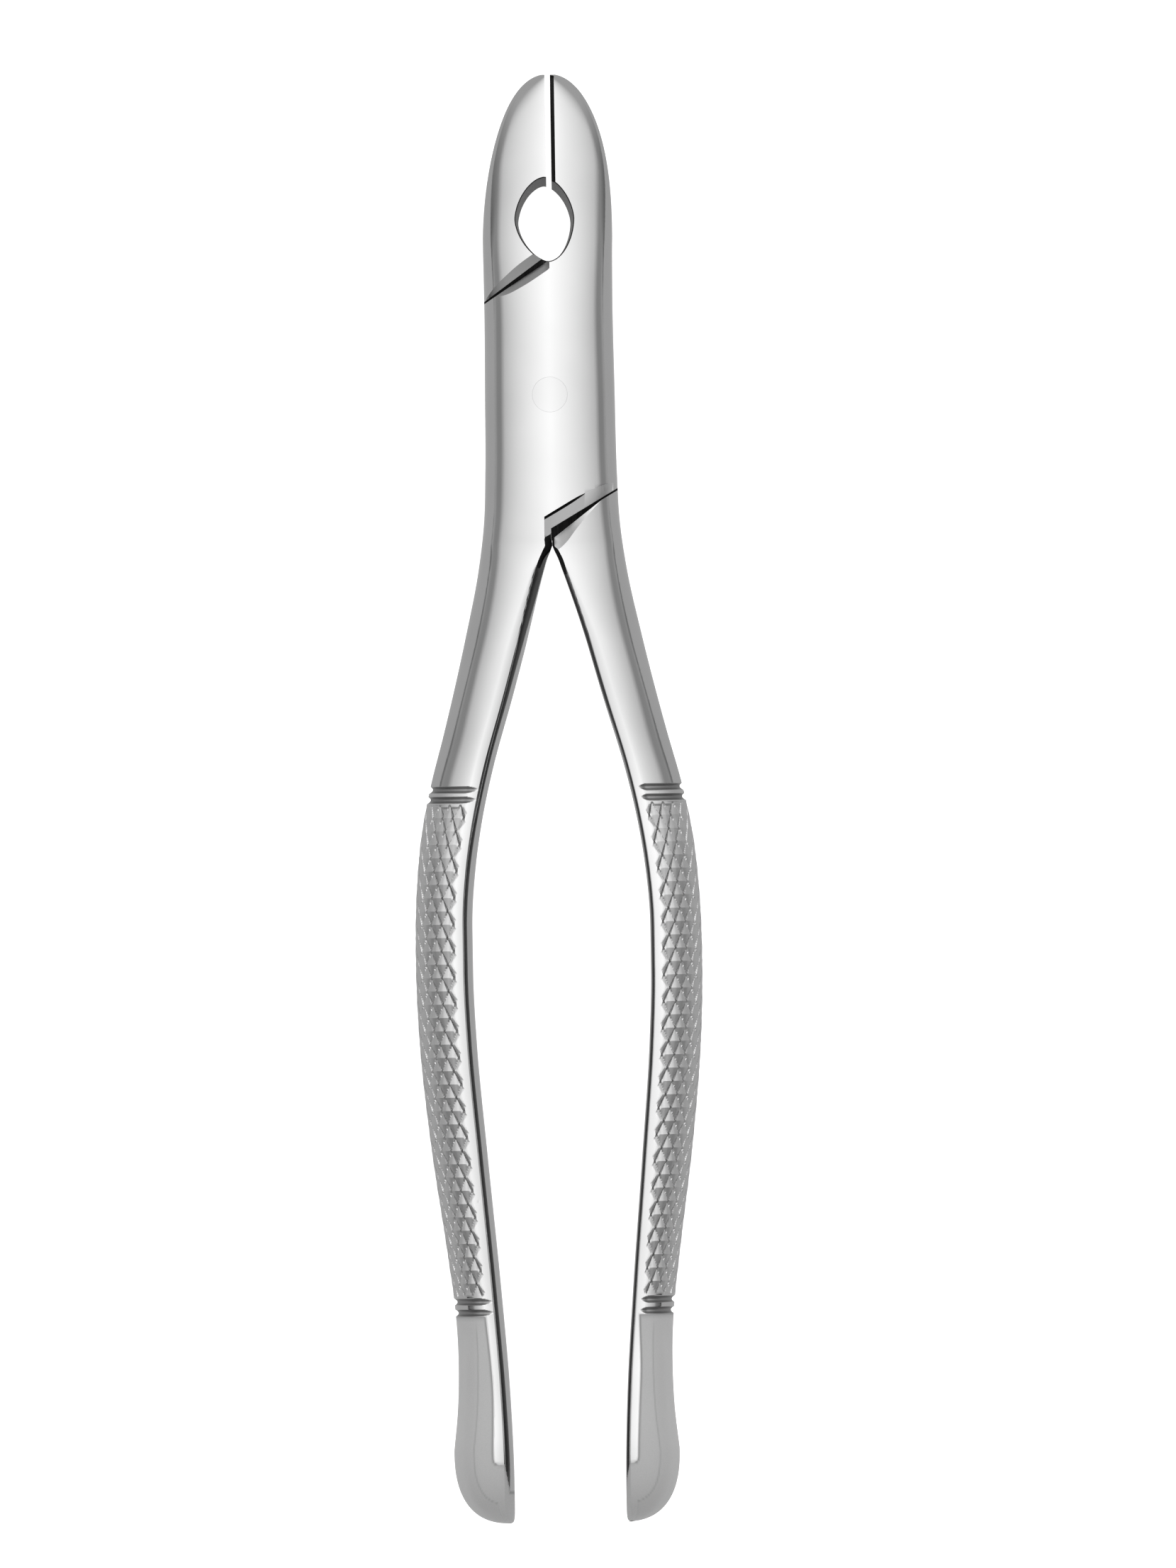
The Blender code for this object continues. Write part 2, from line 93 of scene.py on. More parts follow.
HANDLE_END_POWER = 2.5

# side profile
HALF_DEPTH = [
    (89.0, 0.85), (85.0, 1.60), (80.0, 2.45), (74.0, 3.40), (66.0, 4.50), (58.0, 5.00),
    (43.0, 5.00), (36.0, 4.96), (28.0, 4.80), (18.0, 4.35), (9.0, 3.85), (2.0, 3.65),
    (-8.0, 4.40), (-20.0, 4.90), (-30.0, 5.00), (-50.0, 4.75), (-63.0, 4.55), (-72.0, 4.90),
    (-80.0, 5.40), (-89.0, 5.40),
]
BEND_START_Y = 58.0
BEND_DROP = 6.0
HANDLE_DROP = 3.2
HANDLE_DROP_POWER = 1.5

# cross sections: superellipse powers, and where each starts and the length it sets in over
OUTER_POWER = 2.1
TIP_POWER = 1.6
TIP_FROM, TIP_OVER = 66.0, 12.0
HANDLE_POWER = 1.72
HANDLE_FROM, HANDLE_OVER = 34.0, 14.0
NECK_POWER = 1.5  # just above the ring grooves
NECK_FROM, NECK_OVER = 18.0, 12.0
NECK_UNTIL, NECK_OUT_OVER = -8.0, 8.0
END_POWER = 2.8
END_FROM, END_OVER = -62.0, 8.0
# inner corner of a handle: slope in degrees by distance from its crest toward the inner edge
CORNER_SLOPES = {
    -1: [(0.0, 0), (1.08, 13), (1.14, 45), (1.62, 53), (1.76, 60), (2.20, 70), (2.32, 84)],
    1: [(0.0, 0), (0.98, 7), (1.03, 46), (1.46, 55), (1.50, 68), (1.55, 84)],
}
CORNER_LIMIT = 0.55  # of the handle's half depth
CORNER_WIDTH_LIMIT = 0.4  # of the handle's width
CORNER_RAMP = 14.0  # below the crotch, over which the corner's gentle part sets in
CHAMFER_RAMP = 4.0  # and its chamfer

# mesh density
KNURL_CELLS = 12  # mesh cells along and across one diamond of the knurling
KNURL_ACROSS = 9  # diamonds round the outer side, from crest to crest
ARC_COLUMNS = KNURL_CELLS * KNURL_ACROSS
CORNER_COLUMNS = 24
WALL_COLUMNS = 8
LOOP_COLUMNS = ARC_COLUMNS + 2 * CORNER_COLUMNS + WALL_COLUMNS
ROW_STEP = 0.6
FINE_STEP = 0.07
CUT_END_Y = 24.0  # the seams are cut above here, the grip is added below

# grip
KNURL_TOP_Y = -0.55
KNURL_LENGTH = 3.27  # one diamond along the handle
KNURL_ALONG = 18.5
KNURL_DEPTH = 0.46
KNURL_FLATTEN = 0.88  # share of the depth lost on the outermost side
KNURL_FLATTEN_FROM, KNURL_FLATTEN_OVER = 0.4, 0.45  # of the way out from the crests
KNURL_INWARD = 0.9  # how far past the crest the pattern runs out
KNURL_FADE = 1.6
KNURL_ROOF = 0.92  # how much each diamond is roof shaped rather than a pyramid
KNURL_SLOT = 0.08  # the fine line at the bottom of one set of grooves
KNURL_SLOT_FADE = 0.3  # how far the pattern has set in where that line starts
KNURL_SHIFT = 0.5  # how far the pattern is moved round the handle, in diamonds
KNURL_END_START, KNURL_END_OVER = 0.1, 0.5  # it sets in over this at its top and bottom
ON_LINE = 1e-3  # closer than this to a groove's middle is on it
KNURL_BOTTOM_Y = KNURL_TOP_Y - KNURL_LENGTH * KNURL_ALONG
GROOVES_Y = [1.25, 0.0, -61.65, -63.0]
GROOVE_HALF_WIDTH = 0.42
GROOVE_DEPTH = 0.38
RUN_OUT = {-1: 1.3, 1: 0.6}  # how far the ring grooves run past the crest, inward
RUN_OUT_RAMP = 0.5

# handle ends: satin, but for a polished strip along the inner edge
SATIN_TOP_Y = -63.4
STRIP_EDGE = {
    -1: [(-63.6, 2.15), (-71.4, 2.0), (-80.0, 2.4)],
    1: [(-63.6, 0.9), (-71.4, 1.45), (-80.0, 1.4)],
}
STRIP_END_Y = -81.6
STRIP_END_RADIUS = 0.6
FAR_INWARD = 9.0  # beyond the corner, where only the wall lies
CHAMFER_START = 1.1  # past the crest, and its width: it stays polished further down
CHAMFER_WIDTH = 0.9
CHAMFER_RUN = 3.4
CREASE_INSET = 2.4  # of the fine crease from the handle's outline
CREASE_FALL = 0.17  # how far the surface falls for each mm outside it
# painted shade darkening the colour along the crease line
CREASE_SHADE = 0.22
CREASE_HALF_WIDTH = 0.14
# painted shade along the fine border of the blasted end
BORDER_SHADE = 0.4  # the fine dark border of the blasted end
BORDER_AT, BORDER_HALF_WIDTH = 0.15, 0.25
BLASTED_EDGE = 10.0  # satin value gained for each mm into the blasted end
# painted shade darkening the colour in the ring grooves
RING_SHADE = 0.5
RING_SHADE_DEPTH = 0.12  # groove depth at full shade
RING_SATIN_FROM = 1.3  # diamonds from the crest
RING_SATIN_RISE = 0.3  # satin value for each diamond beyond
CREASE_SHARE = 0.7  # of the half depth, over which the fall sets in from the side up
CREASE_RAMP = 3.0

# lap joint
SEAM_GAP = 0.24
SPLIT_GAP = 0.01  # between the two handles, just above the crotch
SPLIT_JOG_Y = (31.3, 32.2)  # the split comes back to the middle line between these
# distance from the pivot, angle across, where the inner end and the relief's end lie, and
# how far the pocket is relieved at the inner end
Seam = namedtuple("Seam", "radius angle inner_x outer_x relief")
SEAMS = {
    "upper": Seam(13.83, 33.2, -0.1, 7.6, 0.5),
    "lower": Seam(14.23, 30.4, -0.13, 6.2, 1.15),
}
LEFT_BEAK_EDGE = -0.03
BEAK_GAP_RIGHT = 0.63
BEAK_EDGE_BEVEL = (0.5, 60)  # width and tilt
# strips filed along the seams, by seam and lip: width by distance from the seam's inner end,
# tilt to the surface at both ends, how far they run past the inner end
BEVELS = {
    ("upper", "cheek"): ([(-0.4, 0.85), (0, 0.95), (3.0, 0.9), (5.0, 0.6), (6.6, 0.0)], (39, 37), 0.3),
    ("upper", "root"): ([(0, 1.2), (4.8, 1.15), (6.8, 0.6), (7.6, 0.1)], (34, 34), 0.35),
    ("lower", "cheek"): ([(0, 1.6), (3.0, 1.6), (5.2, 1.4), (7.0, 1.1), (7.8, 0.8)], (21, 7), 0.8),
    ("lower", "root"): (
        [(0, 1.35), (1.2, 1.6), (1.9, 1.5), (3.1, 0.95), (4.3, 0.5), (5.4, 0.2), (6.2, 0.0)],
        (38, 34), -0.4,
    ),
}
# the fine step along the top of the lower cheek strip, cut in near-black steel: a painted shadow line
STEP = ([(-0.7, 0.13), (1.5, 0.15), (3.4, 0.09), (4.4, 0.0)], 65)
# the edges broken beside the split between the handles and on below it: width, and distance
# from the inner edge, by height
SPLIT_EDGE = {
    -1: [
        (32.9, 0.3), (32.2, 0.75), (31.5, 0.95), (30.7, 0.8), (29.9, 0.45), (28.5, 0.3),
        (26.4, 0.15),
    ],
    1: [(33.2, 0.4), (30.0, 0.5), (27.5, 0.35)],
}
SPLIT_EDGE_SHIFT = {
    -1: [(31.0, 0.0), (29.9, 0.5), (28.5, 0.7), (26.4, 0.85)],
    1: [(31.2, 0.0), (27.5, 0.1)],
}
SPLIT_EDGE_TILT = 58

# crown hole
HOLE_CENTRE = (-0.33, 71.05)
HOLE_HALF_WIDTH = 3.58
HOLE_HALF_LENGTH = 5.05
HOLE_POWER = 1.7
HOLE_SKEW = 0.5  # its lower end lies this far to the right
HOLE_TILT = 10.0
HOLE_FRONT_Z = 2.6
HOLE_TAPER = 0.055  # on the half width, for each mm of height
HOLE_REACH = 15.0
HOLE_RIM = (0.13, 55)  # width and tilt of its broken edge
HOLE_SEGMENTS = 160

# rivet
RIVET_HEAD_RADIUS = 2.15
RIVET_SHAFT_RADIUS = 1.8
RIVET_HEAD_DEPTH = 0.6
RIVET_HALF_LENGTH = 5.0
RIVET_GAP = 0.012
ROUND_SEGMENTS = 128

WHITE = (1.0, 1.0, 1.0, 1.0)

# steel: noise in grains to a metre
CLOUD_SCALE = 160.0
DRAW_SCALE = 9000.0
DRAW_STRETCH = (1.0, 0.05, 1.0)  # the marks of drawing and polishing run along the forceps
GRAIN_SCALE = 14000.0
SATIN_EDGE = 0.02  # the satin finish sets in over this much of the satin value
BLASTED_FROM, BLASTED_TO = 0.8, 1.2  # and turns to the blasted one between these
BLASTED_METALLIC = 0.3  # the blasted ends scatter light almost like paint
DRAW_BUMP = 2e-7
GRAIN_BUMP = 1e-6

FAR = 30.0  # past the front and rear of everything
CUTTER_HALF_WIDTH = 12.0  # past the joint's sides
SHARP_ANGLE = 14  # edges of more degrees look sharp


def smooth_curve(stations):
    """A smooth curve through (position, value) stations: cubic pieces with averaged slopes."""
    points = sorted(stations)
    at = np.array([p[0] for p in points])
    value = np.array([p[1] for p in points])
    run = np.diff(at)
    slope = np.diff(value) / run
    tangent = np.empty(len(at))
    tangent[0] = slope[0]
    tangent[-1] = slope[-1]
    tangent[1:-1] = (slope[:-1] * run[1:] + slope[1:] * run[:-1]) / (run[1:] + run[:-1])
    tangent[1:-1][slope[:-1] * slope[1:] <= 0] = 0.0

    def curve(y):
        y = min(max(y, at[0]), at[-1])
        i = min(int(np.searchsorted(at, y, side="right")) - 1, len(run) - 1)
        t = (y - at[i]) / run[i]
        return float(
            value[i] * (2 * t**3 - 3 * t**2 + 1)
            + value[i + 1] * (3 * t**2 - 2 * t**3)
            + run[i] * tangent[i] * (t**3 - 2 * t**2 + t)
            + run[i] * tangent[i + 1] * (t**3 - t**2)
        )

    return curve


outline_curve = smooth_curve(OUTLINE)
inner_curve = smooth_curve(INNER_EDGE)
depth_curve = smooth_curve(HALF_DEPTH)
strip_curve = {side: smooth_curve(STRIP_EDGE[side]) for side in (-1, 1)}


def smoothstep(t):
    t = np.clip(t, 0.0, 1.0)
    return t * t * (3 - 2 * t)


def end_share(y):
    """How much of its full width and depth a handle still has at y: 1 until its rounded end."""
    t = min(max((HANDLE_END_Y - y) / (HANDLE_END_Y - END_Y), 0.0), 1.0)
    return (1 - t**HANDLE_END_POWER) ** (1 / HANDLE_END_POWER)


def outer_half_width(y):
    if y > BEAK_ROOT_Y:
        t = (y - BEAK_ROOT_Y) / (TIP_Y + 0.1 - BEAK_ROOT_Y)
        return BEAK_HALF_WIDTH * (1 - t**BEAK_POWER) ** (1 / BEAK_POWER)
    if y < HANDLE_END_Y:
        inner = inner_curve(y)
        return inner + (outline_curve(HANDLE_END_Y) - inner) * end_share(y)
    return outline_curve(y)


def middle_x(y):
    """The beaks' shared middle line, which leans a little to the right."""
    return BEAK_LEAN * smoothstep((y - BEAK_LEAN_FROM) / BEAK_LEAN_OVER)


def half_depth(y):
    return depth_curve(y) * end_share(y)


def centre_height(y):
    """Height of the side profile's centre line: beaks curve down, handles drop gently."""
    if y > BEND_START_Y:
        return JOINT_Z - BEND_DROP * ((y - BEND_START_Y) / (TIP_Y - BEND_START_Y)) ** 2
    if y < CROTCH_Y:
        share = (CROTCH_Y - y) / (CROTCH_Y - END_Y)
        return JOINT_Z - HANDLE_DROP * share**HANDLE_DROP_POWER
    return JOINT_Z


def inner_x(y, side):
    """Distance of a handle's inner edge from the middle line."""
    skew = INNER_EDGE_SKEW * smoothstep((CROTCH_Y - y) / CORNER_RAMP)
    turn_in = INNER_EDGE_TURN_IN * (1 - end_share(y)) ** 4
    return inner_curve(y) + side * skew + turn_in


def section_power(y):
    """Superellipse power of the sections: lower is rounder."""
    power = OUTER_POWER + (TIP_POWER - OUTER_POWER) * smoothstep((y - TIP_FROM) / TIP_OVER)
    power += (HANDLE_POWER - OUTER_POWER) * smoothstep((HANDLE_FROM - y) / HANDLE_OVER)
    neck = smoothstep((NECK_FROM - y) / NECK_OVER)
    neck = neck * smoothstep((y - NECK_UNTIL) / NECK_OUT_OVER)
    power += (NECK_POWER - HANDLE_POWER) * neck
    return power + (END_POWER - HANDLE_POWER) * smoothstep((END_FROM - y) / END_OVER)


def outer_arc(half_width, depth, section):
    """Evenly spaced points (x, z) of a rounded outer side, crest to crest, and their spacing."""
    fine = np.linspace(math.pi / 2, -math.pi / 2, 8 * ARC_COLUMNS + 1)
    power = 2 / section
    x = half_width * np.abs(np.cos(fine)) ** power
    z = depth * np.sign(np.sin(fine)) * np.abs(np.sin(fine)) ** power
    x[0] = x[-1] = 0.0
    length = np.concatenate([[0.0], np.cumsum(np.hypot(np.diff(x), np.diff(z)))])
    wanted = np.linspace(0.0, length[-1], ARC_COLUMNS + 1)
    return np.interp(wanted, length, x), np.interp(wanted, length, z), wanted


def core_loop(y):
    """A closed section through the beaks or the joint: left arc down, then right arc up."""
    x, z, _ = outer_arc(outer_half_width(y), half_depth(y), section_power(y))
    x = np.concatenate([-x, x[-2:0:-1]]) + middle_x(y)
    z = np.concatenate([z, z[-2:0:-1]]) + centre_height(y)
    return x, z


def corner_profile(side, y):
    """The inner corner as distances inward from the crest and downward from it.

    Below the crotch its chamfer reaches full width at once, the gentle part before it later.
    """
    gentle = smoothstep((CROTCH_Y - y) / CORNER_RAMP)
    chamfer = smoothstep((CROTCH_Y - y) / CHAMFER_RAMP)
    at, slope = zip(*CORNER_SLOPES[side])
    at = [min(place, at[1]) * gentle + max(place - at[1], 0.0) * chamfer for place in at]
    if at[-1] < 1e-6:
        return np.zeros(CORNER_COLUMNS), np.zeros(CORNER_COLUMNS)
    fine = np.linspace(0.0, at[-1], 401)
    steep = np.tan(np.radians(np.interp(fine, at, slope)))
    drop = np.concatenate([[0.0], np.cumsum((steep[1:] + steep[:-1]) / 2 * np.diff(fine))])
    length = np.concatenate([[0.0], np.cumsum(np.hypot(np.diff(fine), np.diff(drop)))])
    wanted = np.linspace(0.0, length[-1], CORNER_COLUMNS + 1)[1:]
    return np.interp(wanted, length, fine), np.interp(wanted, length, drop)


class HandleLoop:
    """A closed section of one handle: the outer arc, then the inner side back to the crest.

    past_crest is the distance from the nearer crest along the surface, positive on the outer
    side and negative on the inner one; across counts diamonds of knurling from the top crest.
    """

    def __init__(self, y, side):
        edge = inner_x(y, side)
        depth = half_depth(y)
        across, fall = corner_profile(side, y)
        corner = min(across[-1], CORNER_WIDTH_LIMIT * (outer_half_width(y) - edge))
        x, z, s = outer_arc(outer_half_width(y) - edge - corner, depth, section_power(y))
        share = corner / max(across[-1], 1e-6)
        corner_x = edge + corner - across * share
        corner_z = depth - fall * min(share, CORNER_LIMIT * depth / max(fall[-1], 1e-6))
        wall_z = np.linspace(-corner_z[-1], corner_z[-1], WALL_COLUMNS + 1)[1:-1]
        step = np.hypot(
            np.diff(corner_x, prepend=edge + corner), np.diff(corner_z, prepend=depth)
        )
        inward = np.cumsum(step)
        self.x = np.concatenate([
            x + edge + corner, corner_x, np.full(len(wall_z), edge), corner_x[::-1],
        ])
        self.z = np.concatenate([z, -corner_z, wall_z, corner_z[::-1]])
        self.past_crest = np.concatenate([
            np.minimum(s, s[-1] - s), -inward, np.full(len(wall_z), -99.0), -inward[::-1],
        ])
        diamonds = s / s[-1] * KNURL_ACROSS
        beyond = inward / s[-1] * KNURL_ACROSS
        self.across = np.concatenate([
            diamonds, KNURL_ACROSS + beyond, np.zeros(len(wall_z)), -beyond[::-1],
        ])
        self.y = y
        self.side = side
        self.edge = edge
        self.satin = np.full(len(self.x), -1.0)

    def push(self, amount):
        """Moves the surface outward by amount along its own normal."""
        dx = np.roll(self.x, -1) - np.roll(self.x, 1)
        dz = np.roll(self.z, -1) - np.roll(self.z, 1)
        length = np.maximum(np.hypot(dx, dz), 1e-9)
        self.x = self.x - dz / length * amount
        self.z = self.z + dx / length * amount

    def points(self):
        return self.side * self.x, self.z + centre_height(self.y)


def ring_groove_cut(loop):
    """Depth of the ring grooves, which run out to a point on the inner side."""
    reach = RUN_OUT[loop.side]
    fade = smoothstep((loop.past_crest + reach) / (reach + RUN_OUT_RAMP))
    shape = max(1 - ((loop.y - centre) / GROOVE_HALF_WIDTH) ** 2 for centre in GROOVES_Y)
    return np.maximum(0.0, GROOVE_DEPTH * (max(shape, 0.0) - 1 + fade))


def knurl_cut(loop):
    """Depth of the two sets of slanting V grooves, and how far they have set in."""
    along = (KNURL_TOP_Y - loop.y) / KNURL_LENGTH
    from_end = min(KNURL_TOP_Y - loop.y, loop.y - KNURL_BOTTOM_Y)
    if from_end < 0:
        return np.zeros(len(loop.x)), 0.0
    side = 1 - np.abs(loop.across / KNURL_ACROSS - 0.5) * 2
    flatten = smoothstep((side - KNURL_FLATTEN_FROM) / KNURL_FLATTEN_OVER)
    depth = KNURL_DEPTH * (1 - KNURL_FLATTEN * flatten)
    first = loop.across + KNURL_SHIFT + along
    second = loop.across + KNURL_SHIFT - along
    from_first = np.abs(first - np.round(first))
    from_second = np.abs(second - np.round(second))
    pyramid = 1 - 2 * np.minimum(from_first, from_second)
    past_first = first - np.floor(first + 1e-4)
    past_second = second - np.floor(second + 1e-4)
    roof = np.abs(past_first - past_second)
    roof = np.where(from_second < ON_LINE, np.maximum(past_first, 1 - past_first), roof)
    shape = (1 - KNURL_ROOF) * pyramid + KNURL_ROOF * roof
    on_line = from_first < ON_LINE
    shape[on_line] = 1.0
    fade = smoothstep((loop.past_crest + KNURL_INWARD) / KNURL_FADE)
    fade = fade * smoothstep((from_end + KNURL_END_START) / KNURL_END_OVER)
    cut = np.maximum(0.0, depth * (fade - 1 + shape))
    cut = cut + KNURL_SLOT * on_line * (fade > KNURL_SLOT_FADE)
    return cut, fade


def line(distance, centre, half_width):
    """1 on a fine line at so much distance, falling to 0 half_width to each side."""
    return smoothstep(1 - np.abs(distance - centre) / half_width)


def handle_end_fall(loop, silhouette):
    """How far the front of the end falls outside a line round its edge, and the painted shade along
    that line.
    """
    apart = np.hypot(loop.x[:, None] - silhouette[None, :, 0], loop.y - silhouette[None, :, 1])
    past = CREASE_INSET - apart.min(axis=1)
    outside = np.maximum(0.0, past)
    start = smoothstep((SATIN_TOP_Y - loop.y) / CREASE_RAMP)
    front = smoothstep(loop.z / (CREASE_SHARE * max(loop.z.max(), 1e-6)))
    here = start * front * (loop.past_crest > -0.2)
    dark = CREASE_SHADE * here * line(past, 0.0, CREASE_HALF_WIDTH)
    return CREASE_FALL * outside * here, dark


def satin_end(loop):
    """Distance into the satin finish of the handle end, negative on the polished strip."""
    past_strip = loop.x - loop.edge - strip_curve[loop.side](loop.y)
    on_chamfer = np.clip((-loop.past_crest - CHAMFER_START) / CHAMFER_WIDTH, 0.0, 1.0)
    below = STRIP_END_Y - loop.y - CHAMFER_RUN * on_chamfer
    upper = np.where(loop.past_crest > -FAR_INWARD, past_strip, -1.0)
    lower = np.minimum(loop.past_crest + FAR_INWARD, below)
    corner = np.hypot(
        np.maximum(upper + STRIP_END_RADIUS, 0.0), np.maximum(lower + STRIP_END_RADIUS, 0.0)
    )
    inside = np.maximum(upper, lower)
    rounded = np.where(inside > -STRIP_END_RADIUS, corner - STRIP_END_RADIUS, inside)
    return np.minimum(SATIN_TOP_Y - loop.y, rounded)


def silhouette_points():
    """The handle end's outline in plan, round to its inner edge."""
    reach = HANDLE_END_Y - END_Y
    ys = np.concatenate([
        np.arange(SATIN_TOP_Y + 3, HANDLE_END_Y, -0.1),
        HANDLE_END_Y - reach * np.sin(np.linspace(0, math.pi / 2, 200)),
    ])
    return np.array([(outer_half_width(y), y) for y in ys])


def row_places():
    """Where the grip's sections lie, closer on the grooves, knurling and end."""
    rows = list(np.arange(CUT_END_Y, GROOVES_Y[0] + 0.5, -ROW_STEP))
    rows += list(np.arange(GROOVES_Y[0] + 0.45, KNURL_TOP_Y, -FINE_STEP))
    count = int(KNURL_ALONG * KNURL_CELLS)
    rows += [KNURL_TOP_Y - KNURL_LENGTH * r / KNURL_CELLS for r in range(count + 1)]
    rows += list(np.arange(KNURL_BOTTOM_Y - FINE_STEP, SATIN_TOP_Y - 0.1, -FINE_STEP))
    rows += list(np.arange(SATIN_TOP_Y - 0.3, HANDLE_END_Y + 0.2, -0.4))
    reach = HANDLE_END_Y - END_Y
    rows += [HANDLE_END_Y - reach * math.sin(t) for t in np.linspace(0, 1.55, 44)]
    return rows


def quads(first, second, closed=True):
    """Faces between two rows of vertex numbers."""
    following = 1 if closed else 0
    count = len(first) - 1 + following
    return [
        (first[i], first[(i + 1) % len(first)], second[(i + 1) % len(first)], second[i])
        for i in range(count)
    ]


def cut_quads(first, second, height_first, height_second):
    """Triangles between two rows, split so that the grooves stay sharp."""
    faces = []
    size = len(first)
    for i in range(size):
        j = (i + 1) % size
        a, b, c, d = first[i], first[j], second[j], second[i]
        if height_first[i] + height_second[j] >= height_first[j] + height_second[i]:
            faces += [(a, b, c), (a, c, d)]
        else:
            faces += [(a, b, d), (b, c, d)]
    return faces


class Shell:
    """A mesh in the making: rows of vertices with their satin and shade values, and faces."""

    def __init__(self):
        self.rows = []
        self.values = {"satin": [], "shade": []}
        self.faces = []
        self.on_wall = set()
        self.count = 0

    def row(self, y, x, z, satin=-1.0, shade=0.0):
        ys = np.full(len(x), y)
        self.rows.append(np.stack([x, ys, z], axis=1) * MM)
        self.values["satin"].append(np.zeros(len(x)) + satin)
        self.values["shade"].append(np.zeros(len(x)) + shade)
        numbers = np.arange(self.count, self.count + len(x))
        self.count += len(x)
        return numbers

    def join(self, faces):
        """Adds the faces round one step of a handle, noting those of its inner wall."""
        each = len(faces) // LOOP_COLUMNS
        first = (ARC_COLUMNS + CORNER_COLUMNS) * each
        start = len(self.faces) + first
        self.on_wall.update(range(start, start + WALL_COLUMNS * each))
        self.faces += faces

    def mesh(self, name):
        mesh = bpy.data.meshes.new(name)
        faces = [[int(v) for v in face] for face in self.faces]
        mesh.from_pydata(np.concatenate(self.rows).tolist(), [], faces)
        for number in self.on_wall:
            mesh.polygons[number].material_index = 1
        for value, rows in self.values.items():
            attribute = mesh.attributes.new(value, "FLOAT", "POINT")
            attribute.data.foreach_set("value", np.concatenate(rows).astype(np.float32))
        return mesh


def core_places():
    turns = np.linspace(86, 0, 44)
    reach = TIP_Y + 0.1 - BEAK_ROOT_Y
    places = [BEAK_ROOT_Y + reach * math.sin(math.radians(t)) ** (2 / BEAK_POWER) for t in turns]
    places = [TIP_Y] + [y for y in places if y < TIP_Y - 0.02]
    return places + list(np.arange(BEAK_ROOT_Y - ROW_STEP, CROTCH_Y + 0.3, -ROW_STEP))


def core_shell(side):
    """Beaks, joint and the start of one handle, closed, before the seams are cut."""
    shell = Shell()
    previous = None
    for y in core_places() + [CROTCH_Y]:
        loop = shell.row(y, *core_loop(y))
        if previous is None:
            shell.faces.append(list(loop))
        else:
            shell.faces += quads(previous, loop)
        previous = loop
    left = previous[:ARC_COLUMNS + 1]
    right = np.concatenate([previous[:1], previous[:ARC_COLUMNS - 1:-1]])
    arc, other = (left, right) if side < 0 else (right, left)
    start = HandleLoop(CROTCH_Y, side)
    x, z = start.points()
    wall = shell.row(CROTCH_Y, x[ARC_COLUMNS + 1:] * 0.0, z[ARC_COLUMNS + 1:])
    shell.faces.append(list(other) + list(wall))
    previous = np.concatenate([arc, wall])
    for y in list(np.arange(CROTCH_Y - 0.3, CUT_END_Y, -ROW_STEP / 2)) + [CUT_END_Y]:
        loop = shell.row(y, *HandleLoop(y, side).points())
        shell.join(quads(previous, loop))
        previous = loop
    shell.faces.append(list(previous))
    return shell.mesh("core")


def grip_shell(side):
    """The rest of the handle, from just below the joint to its rounded end."""
    shell = Shell()
    silhouette = silhouette_points()
    previous = None
    for y in row_places():
        loop = HandleLoop(y, side)
        rings = ring_groove_cut(loop)
        knurl, fade = knurl_cut(loop)
        fall, crease_shade = 0.0, 0.0
        if y < SATIN_TOP_Y:
            fall, crease_shade = handle_end_fall(loop, silhouette)
        loop.push(-rings - knurl - fall)
        satin = np.maximum(rings - 0.04, np.maximum(knurl - 0.02, fade - 0.75))
        # painted shade: the colour is darkened in the ring grooves
        shade = RING_SHADE * smoothstep(rings / RING_SHADE_DEPTH)
        if y > KNURL_TOP_Y and y < GROOVES_Y[0]:
            apart = np.minimum(loop.across, KNURL_ACROSS - loop.across)
            satin = np.maximum(satin, RING_SATIN_RISE * (apart - RING_SATIN_FROM))
        if y < SATIN_TOP_Y:
            end = satin_end(loop)
            satin = np.maximum(satin, end * BLASTED_EDGE)
            # painted shade along the blasted end's border and its crease
            border = line(end, BORDER_AT, BORDER_HALF_WIDTH)
            shade = np.maximum(shade, BORDER_SHADE * border)
            shade = np.maximum(shade, crease_shade)
        numbers = shell.row(y, *loop.points(), satin, shade)
        if previous is not None:
            shell.join(cut_quads(previous, numbers, -knurl_before, -knurl))
        previous = numbers
        knurl_before = knurl
    shell.faces.append(list(previous))
    return shell.mesh("grip")


def add_object(name, mesh, material=None):
    obj = bpy.data.objects.new(name, mesh)
    bpy.context.scene.collection.objects.link(obj)
    if material:
        mesh.materials.append(material)
    return obj


def with_outward_faces(mesh):
    bm = bmesh.new()
    bm.from_mesh(mesh)
    bmesh.ops.recalc_face_normals(bm, faces=bm.faces)
    bm.to_mesh(mesh)
    bm.free()
    return mesh


def solid(name, corners, faces, material):
    mesh = bpy.data.meshes.new(name)
    mesh.from_pydata(corners, [], faces)
    return add_object(name, with_outward_faces(mesh), material)


def loft(name, low, high, material):
    """A solid between two outlines of (x, y, z) points with the same number of corners."""
    count = len(low)
    corners = [(x * MM, y * MM, z * MM) for x, y, z in low + high]
    faces = [list(range(count)), list(range(count, 2 * count))[::-1]]
    for i in range(count):
        j = (i + 1) % count
        faces.append((i, j, count + j, count + i))
    return solid(name, corners, faces, material)


def prism(name, outline, low, high, material):
    ends = [[(x, y, z) for x, y in outline] for z in (low, high)]
    return loft(name, *ends, material)


def seam_y(x, where, offset, mirrored):
    """Height in plan of a seam line at x, moved outward from the pivot by offset."""
    seam = SEAMS[where]
    angle = math.radians(seam.angle)
    across = -x if mirrored else x
    away = (seam.radius + offset) / math.cos(angle)
    if where == "lower":
        away = -away
    return PIVOT_Y + away + across * math.tan(angle)


